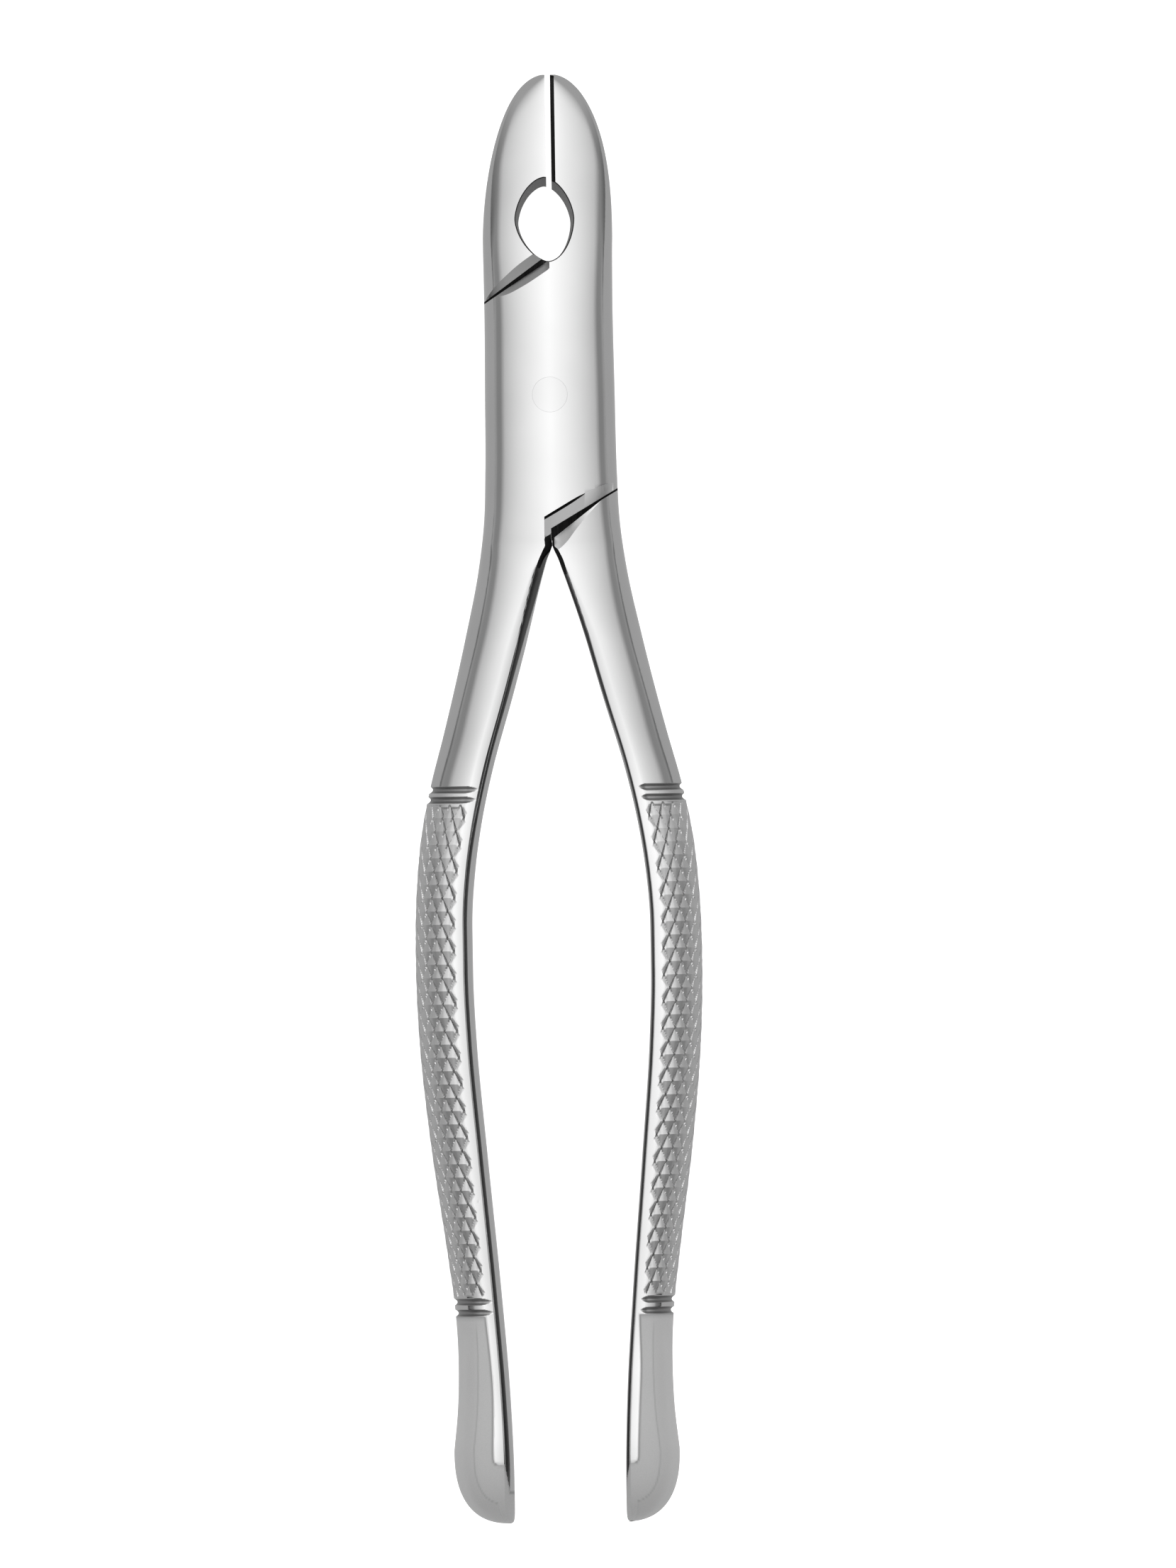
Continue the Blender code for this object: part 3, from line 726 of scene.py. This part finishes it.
def other_beak(gap_x, offset, mirrored):
    """Plan of the beak that belongs to the other half, above the upper seam."""
    edge = CUTTER_HALF_WIDTH if mirrored else -CUTTER_HALF_WIDTH
    inner = SEAMS["upper"].inner_x
    return [
        (gap_x, TIP_Y + 5), (gap_x, HOLE_CENTRE[1] + 0.7), (inner, HOLE_CENTRE[1] - 0.6),
        (inner, seam_y(inner, "upper", offset, mirrored)),
        (edge, seam_y(edge, "upper", offset, mirrored)), (edge, TIP_Y + 5),
    ]


def split_line(y):
    """Where the split between the handles runs, above the crotch."""
    return float(np.interp(y, SPLIT_JOG_Y, (0.0, SEAMS["lower"].inner_x)))


def other_handle(gap, offset, mirrored):
    """Plan of the handle that belongs to the other half, below the lower seam."""
    edge = -CUTTER_HALF_WIDTH if mirrored else CUTTER_HALF_WIDTH
    split_x = SEAMS["lower"].inner_x + gap
    return [
        (gap, CUT_END_Y + 0.5), (gap, SPLIT_JOG_Y[0]), (split_x, SPLIT_JOG_Y[1]),
        (split_x, seam_y(split_x, "lower", offset, mirrored)),
        (edge, seam_y(edge, "lower", offset, mirrored)), (edge, CUT_END_Y + 0.5),
    ]


def cheek_pocket(offset, mirrored):
    """Plan of the pocket that the other half's cheek turns in, with relief at its inner ends."""
    sign = 1 if mirrored else -1
    edge = sign * CUTTER_HALF_WIDTH
    upper = SEAMS["upper"]
    lower = SEAMS["lower"]

    def at(x, where, relief=0.0):
        return x, seam_y(x, where, offset, not mirrored) + relief

    return [
        at(upper.inner_x, "upper", upper.relief), at(-sign * upper.outer_x, "upper"),
        at(-edge, "upper"), (-edge, CROTCH_Y - 2), (lower.inner_x, CROTCH_Y - 2),
        at(lower.inner_x, "lower", -lower.relief), at(sign * lower.outer_x, "lower"),
        at(edge, "lower"), (edge, HOLE_CENTRE[1]), (upper.inner_x, HOLE_CENTRE[1]),
    ]


def surface(x, y, layer):
    """Point and outward normal of the uncut joint or beaks, on the front or the rear face."""
    def height(px, py):
        share = min(abs(px - middle_x(py)) / outer_half_width(py), 0.9999)
        power = section_power(py)
        rise = half_depth(py) * (1 - share**power) ** (1 / power)
        return centre_height(py) + layer * rise

    step = 0.01
    slope_x = (height(x + step, y) - height(x - step, y)) / (2 * step)
    slope_y = (height(x, y + step) - height(x, y - step)) / (2 * step)
    normal = Vector((-slope_x, -slope_y, 1.0)).normalized() * layer
    return Vector((x, y, height(x, y))), normal


def strip_cutter(name, stations, layer, material, closed=False):
    """A wedge swept along an edge: it takes off a strip that follows the curved surface.

    stations are (x, y, width, tilt, toward) in plan: tilt is the strip's angle to the surface
    in degrees, and toward points from the edge into the piece that is filed.
    """
    rings = []
    for x, y, width, tilt, toward in stations:
        point, normal = surface(x, y, layer)
        across = Vector((toward[0], toward[1], 0.0))
        across = across - across.dot(normal) * normal
        lip = point + width * across
        foot = point - width * math.tan(math.radians(tilt)) * normal
        slide = lip - foot
        rings.append([
            lip + slide * 0.5, foot - slide * 0.35,
            point - 0.5 * across + (0.2 + 2.0 * width) * normal,
        ])
    return sweep(name, rings, material, closed)


def sweep(name, rings, material, closed):
    """A solid through a row of rings with the same number of corners, open ended or closed."""
    count = len(rings[0])
    total = len(rings)
    corners = [point * MM for ring in rings for point in ring]
    faces = []
    if not closed:
        faces = [list(range(count)), list(range(len(corners) - count, len(corners)))]
    for k in range(total if closed else total - 1):
        here, there = k * count, (k + 1) % total * count
        for i in range(count):
            j = (i + 1) % count
            faces.append((here + i, here + j, there + j, there + i))
    return solid(name, corners, faces, material)


def seam_bevels(where, lip, layer, material, dark):
    """The strip filed along one lip of a seam, and the fine step at the top of the lower one."""
    seam = SEAMS[where]
    outward = 1 if where == "upper" else -1
    side = -outward * layer
    widths, tilts, past = BEVELS[where, lip]
    width_at = smooth_curve(widths)
    step_at = smooth_curve(STEP[0])
    reach = abs(side * seam.outer_x - seam.inner_x)
    sign = -1 if lip == "cheek" else 1
    toward = (0.0, sign * outward / math.cos(math.radians(seam.angle)))
    strip = []
    step = []
    for out in np.linspace(-past, widths[-1][0] - 0.05, 40):
        x = seam.inner_x + side * out
        y = seam_y(x, where, sign * SEAM_GAP / 2, layer < 0)
        if lip == "root":
            y += outward * seam.relief * max(0.0, 1 - max(out, 0.0) / reach)
        width = width_at(out)
        tilt = np.interp(out, (0.0, widths[-1][0]), tilts)
        strip.append((x, y, width, tilt, toward))
        if out < STEP[0][-1][0] - 0.05:
            lip_y = y + toward[1] * (width - 0.6 * step_at(out))
            step.append((x, lip_y, step_at(out), STEP[1], toward))
    cutters = [strip_cutter(f"{where}_{lip}", strip, layer, material)]
    if (where, lip) == ("lower", "cheek"):
        # the step's faces are near-black steel: painted shade
        cutters.append(strip_cutter("step", step, layer, dark))
    return cutters


def hole_point(turn, z):
    """A point (x, y) of the crown hole's outline at height z over the joint's middle."""
    c, s = math.cos(turn), math.sin(turn)
    power = 2 / HOLE_POWER
    half_width = HOLE_HALF_WIDTH + HOLE_TAPER * (z - HOLE_FRONT_Z)
    lean = math.tan(math.radians(HOLE_TILT)) * (1 + s) / 2
    x = HOLE_CENTRE[0] + half_width * math.copysign(abs(c) ** power, c)
    x += HOLE_SKEW * min(s, 0.0) ** 2
    y = HOLE_CENTRE[1] + HOLE_HALF_LENGTH * math.copysign(abs(s) ** power, s) + z * lean
    return x, y


def hole_rim(layer, material):
    """The fine edge broken round the mouth of the crown hole, cut in near-black steel: a painted
    shadow line round the hole.
    """
    stations = []
    for k in range(HOLE_SEGMENTS):
        turn = 2 * math.pi * (k + 0.5) / HOLE_SEGMENTS
        z = HOLE_FRONT_Z
        for _ in range(4):
            x, y = hole_point(turn, z)
            z = surface(x, y, layer)[0].z - JOINT_Z
        toward = (math.cos(turn), math.sin(turn))
        stations.append((x, y, *HOLE_RIM, toward))
    return strip_cutter("hole_rim", stations, layer, material, closed=True)


def crown_hole_cutter(material):
    """The oval hole between the beaks, a little wider at the front."""
    turns = [2 * math.pi * (k + 0.5) / HOLE_SEGMENTS for k in range(HOLE_SEGMENTS)]
    reach = (-HOLE_REACH, HOLE_REACH)
    ends = [[(*hole_point(turn, z), JOINT_Z + z) for turn in turns] for z in reach]
    return loft("crown_hole", *ends, material)


def turned(name, profile, material):
    """A solid of revolution about the pivot axis from an (r, z) profile, ends on the axis."""
    bm = bmesh.new()
    loops = []
    for radius, z in profile:
        loop = []
        for k in range(ROUND_SEGMENTS):
            turn = 2 * math.pi * k / ROUND_SEGMENTS
            x = PIVOT_X + radius * math.cos(turn)
            y = PIVOT_Y + radius * math.sin(turn)
            loop.append(bm.verts.new((x * MM, y * MM, (JOINT_Z + z) * MM)))
        loops.append(loop)
    bm.faces.new(loops[0])
    bm.faces.new(loops[-1])
    for below, above in zip(loops, loops[1:]):
        for k in range(ROUND_SEGMENTS):
            j = (k + 1) % ROUND_SEGMENTS
            bm.faces.new((below[k], below[j], above[j], above[k]))
    bmesh.ops.recalc_face_normals(bm, faces=bm.faces)
    mesh = bpy.data.meshes.new(name)
    bm.to_mesh(mesh)
    bm.free()
    return add_object(name, mesh, material)


def rivet_profile(grow, half_length):
    """The rivet is a shaft with a shallow countersunk head at each end."""
    head = RIVET_HEAD_RADIUS + grow
    shaft = RIVET_SHAFT_RADIUS + grow
    neck = RIVET_HALF_LENGTH - RIVET_HEAD_DEPTH - (RIVET_HEAD_RADIUS - RIVET_SHAFT_RADIUS)
    lip = RIVET_HALF_LENGTH - RIVET_HEAD_DEPTH
    return [
        (head, -half_length), (head, -lip), (shaft, -neck),
        (shaft, neck), (head, lip), (head, half_length),
    ]


def combine(obj, cutters, operation):
    """obj cut by, or kept only inside, a group of cutters. The cutters are removed."""
    group = bpy.data.collections.new("cutters")
    bpy.context.scene.collection.children.link(group)
    for cutter in cutters:
        bpy.context.scene.collection.objects.unlink(cutter)
        group.objects.link(cutter)
    modifier = obj.modifiers.new("combine", "BOOLEAN")
    modifier.operation = operation
    modifier.solver = "EXACT"
    modifier.operand_type = "COLLECTION"
    modifier.collection = group
    modifier.material_mode = "TRANSFER"
    view = bpy.context.evaluated_depsgraph_get()
    result = bpy.data.meshes.new_from_object(obj.evaluated_get(view), depsgraph=view)
    obj.modifiers.clear()
    old = obj.data
    obj.data = result
    bpy.data.meshes.remove(old)
    for cutter in cutters:
        bpy.data.objects.remove(cutter)
    bpy.data.collections.remove(group)
    return obj


def lap_cutters(mirrored, material, dark):
    """What parts one half from the uncut body: the front, or mirrored the rear."""
    half_gap = SEAM_GAP / 2
    gap = (SPLIT_GAP if mirrored else -SPLIT_GAP) / 2
    gap_x = LEFT_BEAK_EDGE if mirrored else BEAK_GAP_RIGHT
    beak = prism("beak_cutter", other_beak(gap_x, -half_gap, mirrored), -FAR, FAR, material)
    handle = prism("handle_cutter", other_handle(gap, -half_gap, mirrored), -FAR, FAR, material)
    if mirrored:
        low, high = JOINT_Z - half_gap, JOINT_Z + FAR
    else:
        low, high = JOINT_Z - FAR, JOINT_Z + half_gap
    # the pocket's faces are near-black steel: painted shade in the seam gaps
    pocket = prism("pocket_cutter", cheek_pocket(half_gap, mirrored), low, high, dark)
    return [beak, handle, pocket]


def bevel_cutters(layer, metals):
    """Bevels of one half: its own cheek's lips, and its roots in the other layer."""
    cutters = []
    for where, metal in (("upper", "filed"), ("lower", "ground")):
        cutters += seam_bevels(where, "cheek", layer, metals[metal], metals["dark"])
        cutters += seam_bevels(where, "root", -layer, metals[metal], metals["dark"])
    return cutters


def split_edge_bevel(side, layer, material):
    """The edge broken beside the split between the handles, cut in near-black steel: painted shade
    along the split.
    """
    stations = []
    width_at = smooth_curve(SPLIT_EDGE[side])
    shift_at = smooth_curve(SPLIT_EDGE_SHIFT[side])
    for y in np.linspace(SPLIT_EDGE[side][0][0], SPLIT_EDGE[side][-1][0], 30):
        x = split_line(y) if y > CROTCH_Y else side * (inner_x(y, side) + shift_at(y))
        stations.append((x, y, width_at(y), SPLIT_EDGE_TILT, (side, 0.0)))
    return strip_cutter("split_edge", stations, layer, material)


def beak_edge_bevel(material):
    """The rounding along the right beak's inner edge, on the front face, cut in near-black steel:
    painted shade along the beaks' gap.
    """
    ys = np.linspace(TIP_Y - 0.05, HOLE_CENTRE[1] + 3.0, 40)
    stations = [(BEAK_GAP_RIGHT, y, *BEAK_EDGE_BEVEL, (1.0, 0.0)) for y in ys]
    return strip_cutter("beak_edge", stations, 1, material)


def join_grip(obj, side):
    """Adds the grip below the cut solid, joined along their shared section."""
    grip = grip_shell(side)
    bm = bmesh.new()
    bm.from_mesh(obj.data)
    cap = [f for f in bm.faces if all(abs(v.co.y - CUT_END_Y * MM) < 1e-8 for v in f.verts)]
    bmesh.ops.delete(bm, geom=cap, context="FACES_ONLY")
    bm.from_mesh(grip)
    near = [v for v in bm.verts if abs(v.co.y - CUT_END_Y * MM) < 1e-7]
    bmesh.ops.remove_doubles(bm, verts=near, dist=2e-6)
    bmesh.ops.recalc_face_normals(bm, faces=bm.faces)
    if bm.calc_volume(signed=True) < 0:
        bmesh.ops.reverse_faces(bm, faces=bm.faces)
    bm.to_mesh(obj.data)
    bm.free()
    bpy.data.meshes.remove(grip)


def smoothed(obj):
    obj.data.shade_smooth()
    obj.data.set_sharp_from_angle(angle=math.radians(SHARP_ANGLE))
    return obj


def half(name, mirrored, metals):
    side = 1 if mirrored else -1
    obj = add_object(name, with_outward_faces(core_shell(side)), metals["polished"])
    obj.data.materials.append(metals["wall"])
    bore = turned("bore", rivet_profile(RIVET_GAP, RIVET_HALF_LENGTH + 2), metals["dark"])
    cutters = lap_cutters(mirrored, metals["ground"], metals["dark"])
    cutters += [crown_hole_cutter(metals["hole"]), bore]
    cutters += [hole_rim(1, metals["dark"]), hole_rim(-1, metals["dark"])]
    cutters += bevel_cutters(-1 if mirrored else 1, metals)
    cutters += [split_edge_bevel(side, layer, metals["dark"]) for layer in (-1, 1)]
    if not mirrored:
        cutters.append(beak_edge_bevel(metals["dark"]))
    combine(obj, cutters, "DIFFERENCE")
    join_grip(obj, side)
    return smoothed(obj)


def rivet(material):
    """The rivet, filed flush with both cheeks."""
    obj = add_object("flush_rivet", with_outward_faces(core_shell(-1)), material)
    blank = turned("rivet_blank", rivet_profile(0.0, RIVET_HALF_LENGTH + 1), material)
    combine(obj, [blank], "INTERSECT")
    return smoothed(obj)


def nodes_of(material):
    material.use_nodes = True
    tree = material.node_tree
    return tree, tree.nodes["Principled BSDF"]


def noise(tree, coordinates, scale, stretch=(1, 1, 1), detail=2.0):
    """Noise at so many grains to a metre, drawn out along the axes by stretch."""
    mapping = tree.nodes.new("ShaderNodeMapping")
    mapping.inputs["Scale"].default_value = stretch
    tree.links.new(coordinates, mapping.inputs["Vector"])
    texture = tree.nodes.new("ShaderNodeTexNoise")
    texture.inputs["Scale"].default_value = scale
    texture.inputs["Detail"].default_value = detail
    tree.links.new(mapping.outputs["Vector"], texture.inputs["Vector"])
    return texture.outputs["Fac"]


def remap(tree, value, low, high, from_low=0.0, from_high=1.0):
    node = tree.nodes.new("ShaderNodeMapRange")
    node.inputs["From Min"].default_value = from_low
    node.inputs["From Max"].default_value = from_high
    node.inputs["To Min"].default_value = low
    node.inputs["To Max"].default_value = high
    tree.links.new(value, node.inputs["Value"])
    return node.outputs["Result"]


def mix_values(tree, factor, first, second):
    node = tree.nodes.new("ShaderNodeMix")
    node.data_type = "FLOAT"
    tree.links.new(factor, node.inputs[0])
    tree.links.new(first, node.inputs[2])
    tree.links.new(second, node.inputs[3])
    return node.outputs[0]


def math_node(tree, operation, *values):
    """The output of a Math node fed with plain numbers and other nodes' outputs."""
    node = tree.nodes.new("ShaderNodeMath")
    node.operation = operation
    for socket, value in zip(node.inputs, values):
        if isinstance(value, (int, float)):
            socket.default_value = value
        else:
            tree.links.new(value, socket)
    return node.outputs[0]


def bump(tree, height, distance):
    node = tree.nodes.new("ShaderNodeBump")
    node.inputs["Distance"].default_value = distance
    tree.links.new(height, node.inputs["Height"])
    return node.outputs["Normal"]


def steel(name, tone, rough, satin_tone=None, satin_rough=None):
    """Polished steel with fine draw marks, turning to satin where the satin value says so.

    satin_tone and satin_rough are pairs, for the cut grip and for the blasted handle ends.
    """
    material = bpy.data.materials.new(name)
    tree, shader = nodes_of(material)
    shader.inputs["Metallic"].default_value = 1.0
    place = tree.nodes.new("ShaderNodeTexCoord").outputs["Object"]
    cloud = noise(tree, place, CLOUD_SCALE)
    lines = noise(tree, place, DRAW_SCALE, DRAW_STRETCH, 3.0)
    colour = remap(tree, cloud, tone * 0.985, tone * 1.015, 0.3, 0.7)
    roughness = remap(tree, lines, rough * 0.8, rough * 1.25, 0.3, 0.7)
    normal = bump(tree, lines, DRAW_BUMP)
    if satin_tone:
        grain = noise(tree, place, GRAIN_SCALE, detail=4.0)
        attribute = tree.nodes.new("ShaderNodeAttribute")
        attribute.attribute_name = "satin"
        depth = attribute.outputs["Fac"]
        inside = remap(tree, depth, 0.0, 1.0, -SATIN_EDGE, SATIN_EDGE)
        blasted = remap(tree, depth, 0.0, 1.0, BLASTED_FROM, BLASTED_TO)
        low = remap(tree, blasted, satin_tone[0] * 0.95, satin_tone[1] * 0.95)
        high = remap(tree, blasted, satin_tone[0] * 1.05, satin_tone[1] * 1.05)
        speckle = remap(tree, grain, 0.0, 1.0, 0.35, 0.65)
        satin_colour = mix_values(tree, speckle, low, high)
        satin_roughness = remap(tree, blasted, *satin_rough)
        colour = mix_values(tree, inside, colour, satin_colour)
        roughness = mix_values(tree, inside, roughness, satin_roughness)
        metallic = remap(tree, blasted, 1.0, BLASTED_METALLIC)
        tree.links.new(metallic, shader.inputs["Metallic"])
        # painted shade: the shade value darkens the colour in the ring grooves, along the handle end's
        # crease and along the blasted end's border
        shade = tree.nodes.new("ShaderNodeAttribute")
        shade.attribute_name = "shade"
        left = remap(tree, shade.outputs["Fac"], 1.0, 0.0)
        colour = math_node(tree, "MULTIPLY", colour, left)
        height = mix_values(tree, inside, lines, grain)
        normal = bump(tree, height, GRAIN_BUMP)
    tree.links.new(colour, shader.inputs["Base Color"])
    tree.links.new(roughness, shader.inputs["Roughness"])
    tree.links.new(normal, shader.inputs["Normal"])
    return material


def make_floor():
    mesh = bpy.data.meshes.new("floor")
    size = 3.0
    mesh.from_pydata(
        [(-size, -size, 0), (size, -size, 0), (size, size, 0), (-size, size, 0)],
        [], [(0, 1, 2, 3)],
    )
    material = bpy.data.materials.new("floor_white")
    _, shader = nodes_of(material)
    shader.inputs["Base Color"].default_value = (0.8, 0.8, 0.8, 1.0)
    shader.inputs["Roughness"].default_value = 0.9
    shader.inputs["Emission Color"].default_value = WHITE
    shader.inputs["Emission Strength"].default_value = 0.8
    floor = add_object("floor", mesh, material)
    floor.visible_glossy = False


# the studio: a soft panel overhead that fades evenly to its long sides, a dark gap below
# them, and a pale room from the horizon down; angles are degrees from straight up
PANEL_MIDDLE = 1.7
PANEL_SIDE = 0.8
PANEL_SIDE_ANGLE = 60
GAP_LEVEL = 0.35
GAP_ANGLES = (70, 80)
ROOM_LEVEL = 0.55
HORIZON = 90
LIGHT_ACROSS = [
    (0, PANEL_MIDDLE), (PANEL_SIDE_ANGLE, PANEL_SIDE), (GAP_ANGLES[0], GAP_LEVEL),
    (GAP_ANGLES[1], GAP_LEVEL), (HORIZON, ROOM_LEVEL), (180, ROOM_LEVEL),
]
# along the forceps the panel fades out behind them (negative) and ends sharply in front
PANEL_ENDS = (-60, 60)
BEHIND_LEVEL = 0.15
FRONT_LEVEL = 1.1
FRONT_GAP_ANGLE = 80
FRONT_GAP_LEVEL = 0.35
LIGHT_ALONG = [
    (-180, 1.0), (-HORIZON - 1, 1.0), (1 - HORIZON, BEHIND_LEVEL),
    (PANEL_ENDS[0], BEHIND_LEVEL), (0, 1.0), (PANEL_ENDS[1], FRONT_LEVEL),
    (FRONT_GAP_ANGLE, FRONT_GAP_LEVEL), (HORIZON - 1, FRONT_GAP_LEVEL),
    (HORIZON + 1, 1.0), (180, 1.0),
]
FRONT_GLOW = 0.55  # pale wall low in front of the tips
CAMERA_WHITE = 1.05


def light_ramp(tree, degrees, stations, low, high):
    """Looks up a level by angle, with straight lines between the stations."""
    node = tree.nodes.new("ShaderNodeValToRGB")
    stops = node.color_ramp.elements
    stops.remove(stops[-1])
    for k, (at, level) in enumerate(stations):
        place = (at - low) / (high - low)
        stop = stops[0] if k == 0 else stops.new(place)
        stop.position = place
        stop.color = (level, level, level, 1.0)
    turn = math_node(tree, "MULTIPLY_ADD", degrees, 1 / (high - low), -low / (high - low))
    tree.links.new(turn, node.inputs["Fac"])
    return node.outputs["Color"]


def make_world():
    """A soft studio: a long bright panel overhead, dark behind, a pale table all round."""
    world = bpy.data.worlds.new("studio")
    bpy.context.scene.world = world
    world.use_nodes = True
    tree = world.node_tree
    parts = tree.nodes.new("ShaderNodeSeparateXYZ")
    tree.links.new(tree.nodes.new("ShaderNodeTexCoord").outputs["Generated"], parts.inputs[0])
    x, y, z = (parts.outputs[axis] for axis in "XYZ")
    to_degrees = 180 / math.pi
    beside = math_node(tree, "ABSOLUTE", x)
    across = math_node(tree, "MULTIPLY", math_node(tree, "ARCTAN2", beside, z), to_degrees)
    along = math_node(tree, "MULTIPLY", math_node(tree, "ARCTAN2", y, z), to_degrees)
    level = math_node(
        tree, "MULTIPLY",
        light_ramp(tree, across, LIGHT_ACROSS, 0, 180),
        light_ramp(tree, along, LIGHT_ALONG, -180, 180),
    )
    glow = remap(tree, y, 0.0, FRONT_GLOW, 0.2, 0.8)
    light = tree.nodes["Background"]
    tree.links.new(math_node(tree, "MAXIMUM", level, glow), light.inputs["Strength"])
    seen = tree.nodes.new("ShaderNodeBackground")
    seen.inputs["Strength"].default_value = CAMERA_WHITE
    for node in (light, seen):
        node.inputs["Color"].default_value = WHITE
    path = tree.nodes.new("ShaderNodeLightPath")
    either = tree.nodes.new("ShaderNodeMixShader")
    tree.links.new(path.outputs["Is Camera Ray"], either.inputs["Fac"])
    tree.links.new(light.outputs[0], either.inputs[1])
    tree.links.new(seen.outputs[0], either.inputs[2])
    tree.links.new(either.outputs[0], tree.nodes["World Output"].inputs["Surface"])


# camera: straight above, turned a little, with the forceps left of the middle of the frame
CAMERA_HEIGHT = 6000.0
FRAME_LENGTH = 192.6         # what the long side of the frame covers at the joint plane
CAMERA_TURN = 0.934
CAMERA_AIM = (3.908, 1.722)


def make_camera():
    data = bpy.data.cameras.new("camera")
    data.sensor_width = 36.0
    data.lens = data.sensor_width * CAMERA_HEIGHT / FRAME_LENGTH
    data.clip_start = 0.1
    data.clip_end = 20.0
    camera = bpy.data.objects.new("camera", data)
    bpy.context.scene.collection.objects.link(camera)
    camera.location = (CAMERA_AIM[0] * MM, CAMERA_AIM[1] * MM, (JOINT_Z + CAMERA_HEIGHT) * MM)
    camera.rotation_euler = (0.0, 0.0, -math.radians(CAMERA_TURN))
    bpy.context.scene.camera = camera


def build():
    metals = {
        "polished": steel("polished_steel", 0.58, 0.10, (0.63, 0.47), (0.42, 0.70)),
        "ground": steel("ground_steel", 0.66, 0.35),
        "filed": steel("filed_steel", 0.42, 0.35),
        # painted shade: the handles' flat inner walls are steel far darker than real, so that the
        # other handle's inner corner reflects them as a dark line
        "wall": steel("inner_wall_steel", 0.20, 0.30),
        # painted shade: the crown hole's walls are steel far darker than real, standing in for the
        # shade inside the hole
        "hole": steel("hole_wall_steel", 0.07, 0.40),
        # painted shade: near-black steel on the faces of the seam gaps, the bore, the hole rims, the
        # step, the split edges and the right beak's edge, standing in for the shadow lines there
        "dark": steel("joint_painted_shade", 0.045, 0.6),
    }
    rivet_steel = steel("rivet_steel", 0.57, 0.12)
    front = half("front_half_steel", False, metals)
    rear = half("rear_half_steel", True, metals)
    pin = rivet(rivet_steel)
    for piece, node, body, slot in [
        (front, "front_half", "front_half", "polished_steel"),
        (rear, "rear_half", "rear_half", "polished_steel"),
        (pin, "pivot_rivet", "rear_half", "rivet_steel"),
    ]:
        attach(piece, body)
        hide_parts(node)


make_camera()
make_world()
make_floor()
build()
bpy.context.scene.view_settings.view_transform = "Standard"
